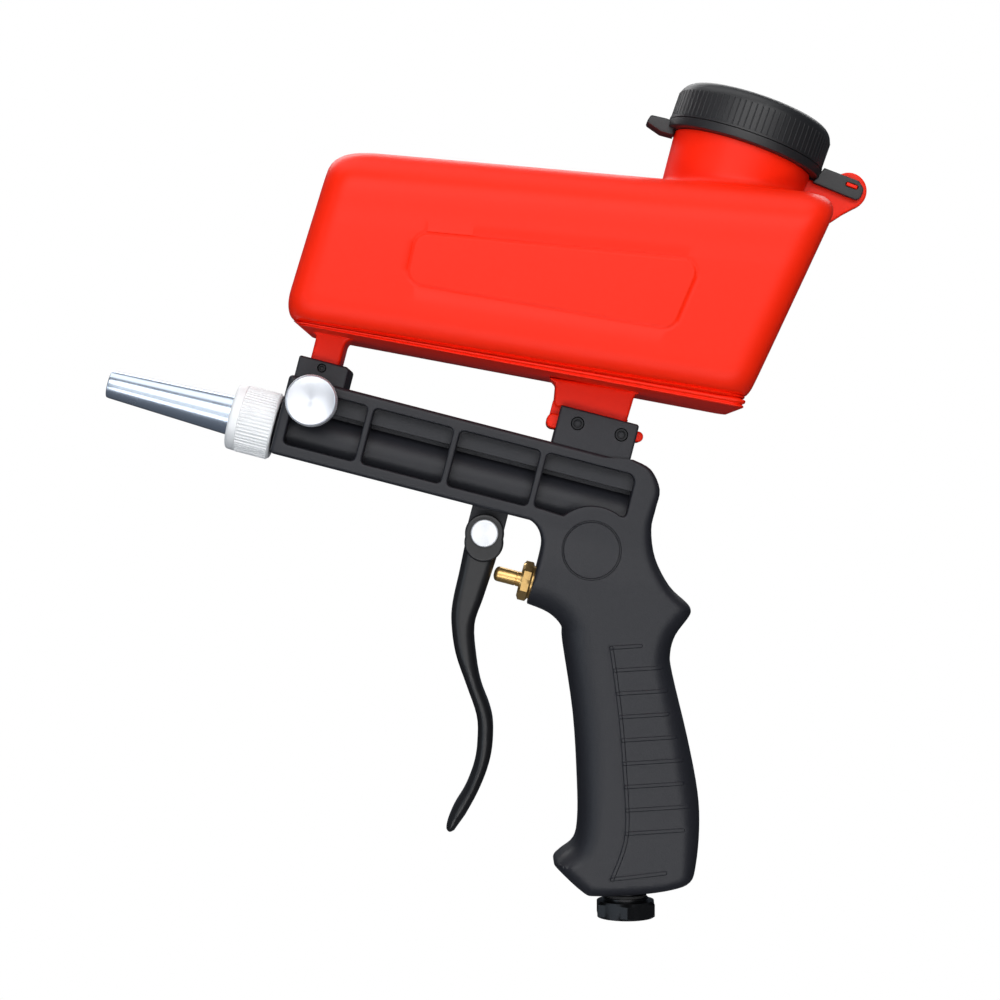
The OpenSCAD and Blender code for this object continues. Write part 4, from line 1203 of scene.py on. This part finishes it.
# %% Cap and strap
CAP_LOW, CAP_HIGH, CAP_R = 3.3, 17.8, 28.5
cap_body = lathe("cap", [(0, CAP_HIGH - 0.35), (16, CAP_HIGH - 0.3), (21.5, CAP_HIGH - 0.1),
                         (22.6, CAP_HIGH)]
                 + arc_points(CAP_R - 5.2, CAP_HIGH - 5.2, 5.2, 90, 0, 10)
                 + [(CAP_R, CAP_LOW + 0.9), (28.85, CAP_LOW + 0.8), (28.85, CAP_LOW + 0.1), (28.6, CAP_LOW),
                    (24.9, CAP_LOW), (24.9, 16.1), (0, 16.1)], ON_NECK, 144)
cap_ribs = ribs("cap_ribs", ON_NECK, finishes["cap_black"], Count=84, Radius=CAP_R - 0.21, Rib_radius=0.36,
                Rib_length=10.2, Start=8.4)
cap = joined("cap_ribbed", [cap_body, cap_ribs], 40)

ring = lathe("ring", [(24.9, 0.2), (25.1, 0), (28.3, 0)] + arc_points(28.2, 0.6, 0.6, -80, 0, 4)
             + [(28.84, 3.05), (28.7, 3.15), (24.9, 3.15)], ON_NECK, 120)
tongue = plate("tongue", [rounded([(7.2, 285.2, 1), (8.9, 287.8, 1), (14.2, 286.6, 1), (17.6, 285.4, 0),
                                   (16.9, 280.4, 0), (12.4, 281.6, 2)], 5)], 4.5, across=0.6, grid=1)
blade = plate("strap_blade", [rounded([(66.5, 263.4, 0.5), (70.9, 268.6, 0), (83.2, 263.9, 1.5),
                                       (85.1, 260.9, 2), (83.3, 256.6, 2)], 5)],
              1.1, across=0.4, grid=0.9)
blade.data.transform(Matrix.Translation((0, -4.3 * MM, 0)))
slot_flat = rounded([(-2.45, -0.95, 0.9), (2.45, -0.95, 0.9), (2.45, 0.95, 0.9), (-2.45, 0.95, 0.9)], 5)
slot = plate("slot", [tilted(slot_flat, peg_centre, PEG_TILT)], 8, across=0.1, grid=1)
blade = cut(blade, [slot])
strap = joined("tether_strap_moulding", [ring, tongue, blade])

# %% [markdown]
# ## Trigger
# The lever is one S-shaped blade with a deep roll along both edges, thickened by two cheeks
# that clasp the body's lug. The slot between the cheeks is cut through with a boolean, because
# it must clear the lug over the whole travel.

# %% Trigger
BLADE_FRONT = [
    (-57.7, 134.4), (-59.7, 124.7), (-62.2, 113.3), (-62.6, 105.5), (-61.1, 94.8), (-57.2, 83.4),
    (-53.6, 72.7), (-53.3, 64.2), (-54.4, 55.7), (-57.6, 47.1), (-61.8, 40), (-64.4, 33.2),
    (-63.4, 31), (-61.6, 31.6)
]
BLADE_BACK = [
    (-57.6, 37.2), (-53.3, 45), (-49.8, 53.5), (-48, 61.3), (-47.7, 69.9), (-49, 76.3), (-51.9, 84.1),
    (-53.6, 92.7), (-54.4, 104.8), (-51.2, 114.7), (-48.2, 123.7), (-44.4, 135.4)
]
BLADE_HALF, CHEEK_HALF = 8.5, 9.8
blade_loop = resampled(np.concatenate([smooth(BLADE_FRONT), smooth(BLADE_BACK)]), 0.9)
cheeks = [resampled(circle(*barrel(at), 7, 64), 0.9) for at in (PIN, (19.7, -21.3))]


def trigger_width(p, side):
    d = depth_in(p, blade_loop)
    width = np.where(d > -1e-4, BLADE_HALF - roll(d, 3.4, 4.5), OUT)
    cheek = np.max([depth_in(p, loop) for loop in cheeks], 0)
    return np.maximum(width, np.where(cheek > -1e-4, CHEEK_HALF - roll(cheek, 0.9, 0.9), OUT))


lever = relief("trigger_lever_moulding", [blade_loop] + cheeks, trigger_width,
               insets=(-0.03,) + SOFT_INSETS[1:], grid=0.9)
lug_room = [circle(*barrel(PIN), 7.3, 64), barrel([(8, PIN[1]), (32, PIN[1]), (32, -6), (8, -6)])]
lever = cut(lever, [plate("lug_room", lug_room, LUG_HALF + 0.3, across=0.05, grid=3)])
print("trigger", len(lever.data.polygons), "faces")

# %% [markdown]
# ## Every piece on its body
# Each new piece replaces its CAD node, takes that node's finish and rides on that node's body.
# The small inner parts stay as they were designed and only get their material.

# %% Bodies and finishes
SLOT_OF = {part["node"]: part["material_slot"] for part in frame["record"]["subparts"]}
BODY_OF = {node: name for name, members in frame["record"]["behaviour"]["bodies"].items()
           for node in members}
pieces = {
    "gun_body": body, "hopper_shell": shell, "hopper_base": base, "tether_strap": strap, "cap": cap,
    "nozzle": nozzle, "nozzle_nut": nut, "flow_knob": knob, "trigger_pin": pin, "valve_stem": stem,
    "gland_nut": gland, "inlet_fitting": inlet, "trigger_lever": lever,
    "rear_saddle_screws": rear_screws, "front_saddle_screws": front_screws,
}
for node, piece in pieces.items():
    piece.data.materials.clear()
    piece.data.materials.append(pin_finish if node == "trigger_pin" else finishes[SLOT_OF[node]])
    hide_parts(node)
    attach(piece, BODY_OF[node])
for node, obj in frame["nodes"].items():
    if node not in pieces:
        obj.data.materials.clear()
        obj.data.materials.append(finishes[SLOT_OF[node]])
print(len(pieces), "new pieces,", len(frame["nodes"]) - len(pieces), "nodes kept")

# %% [markdown]
# ## Studio
# The gun floats before a plain white sweep. A wide softbox hangs in front and above, and a big
# faint card behind the camera fills the sides. A bluish strip stands to the left, a card hangs
# over the top, another lies low in front, and a strip behind draws a thin light line along the
# upper edges. The floor and the backdrop look white to the camera but send little light back,
# so that the gun's lower sides stay dark.

# %% Stage, lights and camera
BOUNCE, ROOM = (0.14, 0.15, 0.17, 1), (0.06, 0.07, 0.085, 1)
FLOOR_Z, FLOOR_SIDE = -0.45, 6


def stage_finish():
    """White to the camera, and dim to the gun."""
    material = bpy.data.materials.new("white_sweep")
    material.use_nodes = True
    tree = material.node_tree
    tree.nodes.clear()
    path = added(tree, "ShaderNodeLightPath")
    bounced = added(tree, "ShaderNodeBsdfDiffuse", {"Color": BOUNCE})
    seen = added(tree, "ShaderNodeEmission")
    mix = added(tree, "ShaderNodeMixShader", {
        0: path.outputs["Is Camera Ray"], 1: bounced.outputs[0], 2: seen.outputs[0]})
    added(tree, "ShaderNodeOutputMaterial", {"Surface": mix.outputs[0]})
    return material


floor = bpy.data.meshes.new("floor")
corners = [(x * FLOOR_SIDE, y * FLOOR_SIDE, FLOOR_Z) for x, y in ((-1, -1), (1, -1), (1, 1), (-1, 1))]
floor.from_pydata(corners, [], [(0, 1, 2, 3)])
floor = linked("floor", floor)
floor.data.materials.append(stage_finish())

world = bpy.data.worlds.new("studio")
world.use_nodes = True
tree = world.node_tree
path = added(tree, "ShaderNodeLightPath")
room = added(tree, "ShaderNodeMix", {"Factor": path.outputs["Is Camera Ray"], "A": ROOM, "B": (1, 1, 1, 1)},
             data_type="RGBA")
tree.links.new(room.outputs["Result"], tree.nodes["Background"].inputs["Color"])
bpy.context.scene.world = world

AIM = Vector((-0.03, 0, 0.15))


def softbox(name, place, size, radiance, colour=(1, 1, 1)):
    light = bpy.data.lights.new(name, "AREA")
    light.shape = "RECTANGLE"
    light.size, light.size_y = size
    light.energy = radiance * math.pi * size[0] * size[1]
    light.color = colour
    obj = linked(name, light)
    obj.location = place
    obj.rotation_euler = (AIM - Vector(place)).to_track_quat("-Z", "Y").to_euler()


softbox("front_softbox", (0.05, -1.15, 0.78), (1.5, 0.6), 3.3)
softbox("camera_card", (-0.1, -1.6, 0.2), (1.5, 1.0), 0.97)
softbox("left_strip", (-1.1, -0.8, 0.1), (0.35, 1.1), 2.2, (0.78, 0.9, 1))
softbox("top_card", (-0.1, -0.15, 1.25), (1.6, 0.8), 1.6)
softbox("low_card", (-0.1, -0.95, -0.38), (1.4, 0.4), 3.8)
softbox("rear_strip", (-0.05, 0.9, 0.95), (1.6, 0.4), 3.5)

camera = bpy.data.cameras.new("camera")
camera.lens = 80
camera.sensor_width = 36
camera = linked("camera", camera)
camera.location = (-0.0452, -0.8, 0.1498)
camera.rotation_euler = (math.radians(90), 0, 0)
bpy.context.scene.camera = camera
bpy.context.scene.view_settings.view_transform = "Standard"
print("lights", [light.name for light in bpy.data.lights])
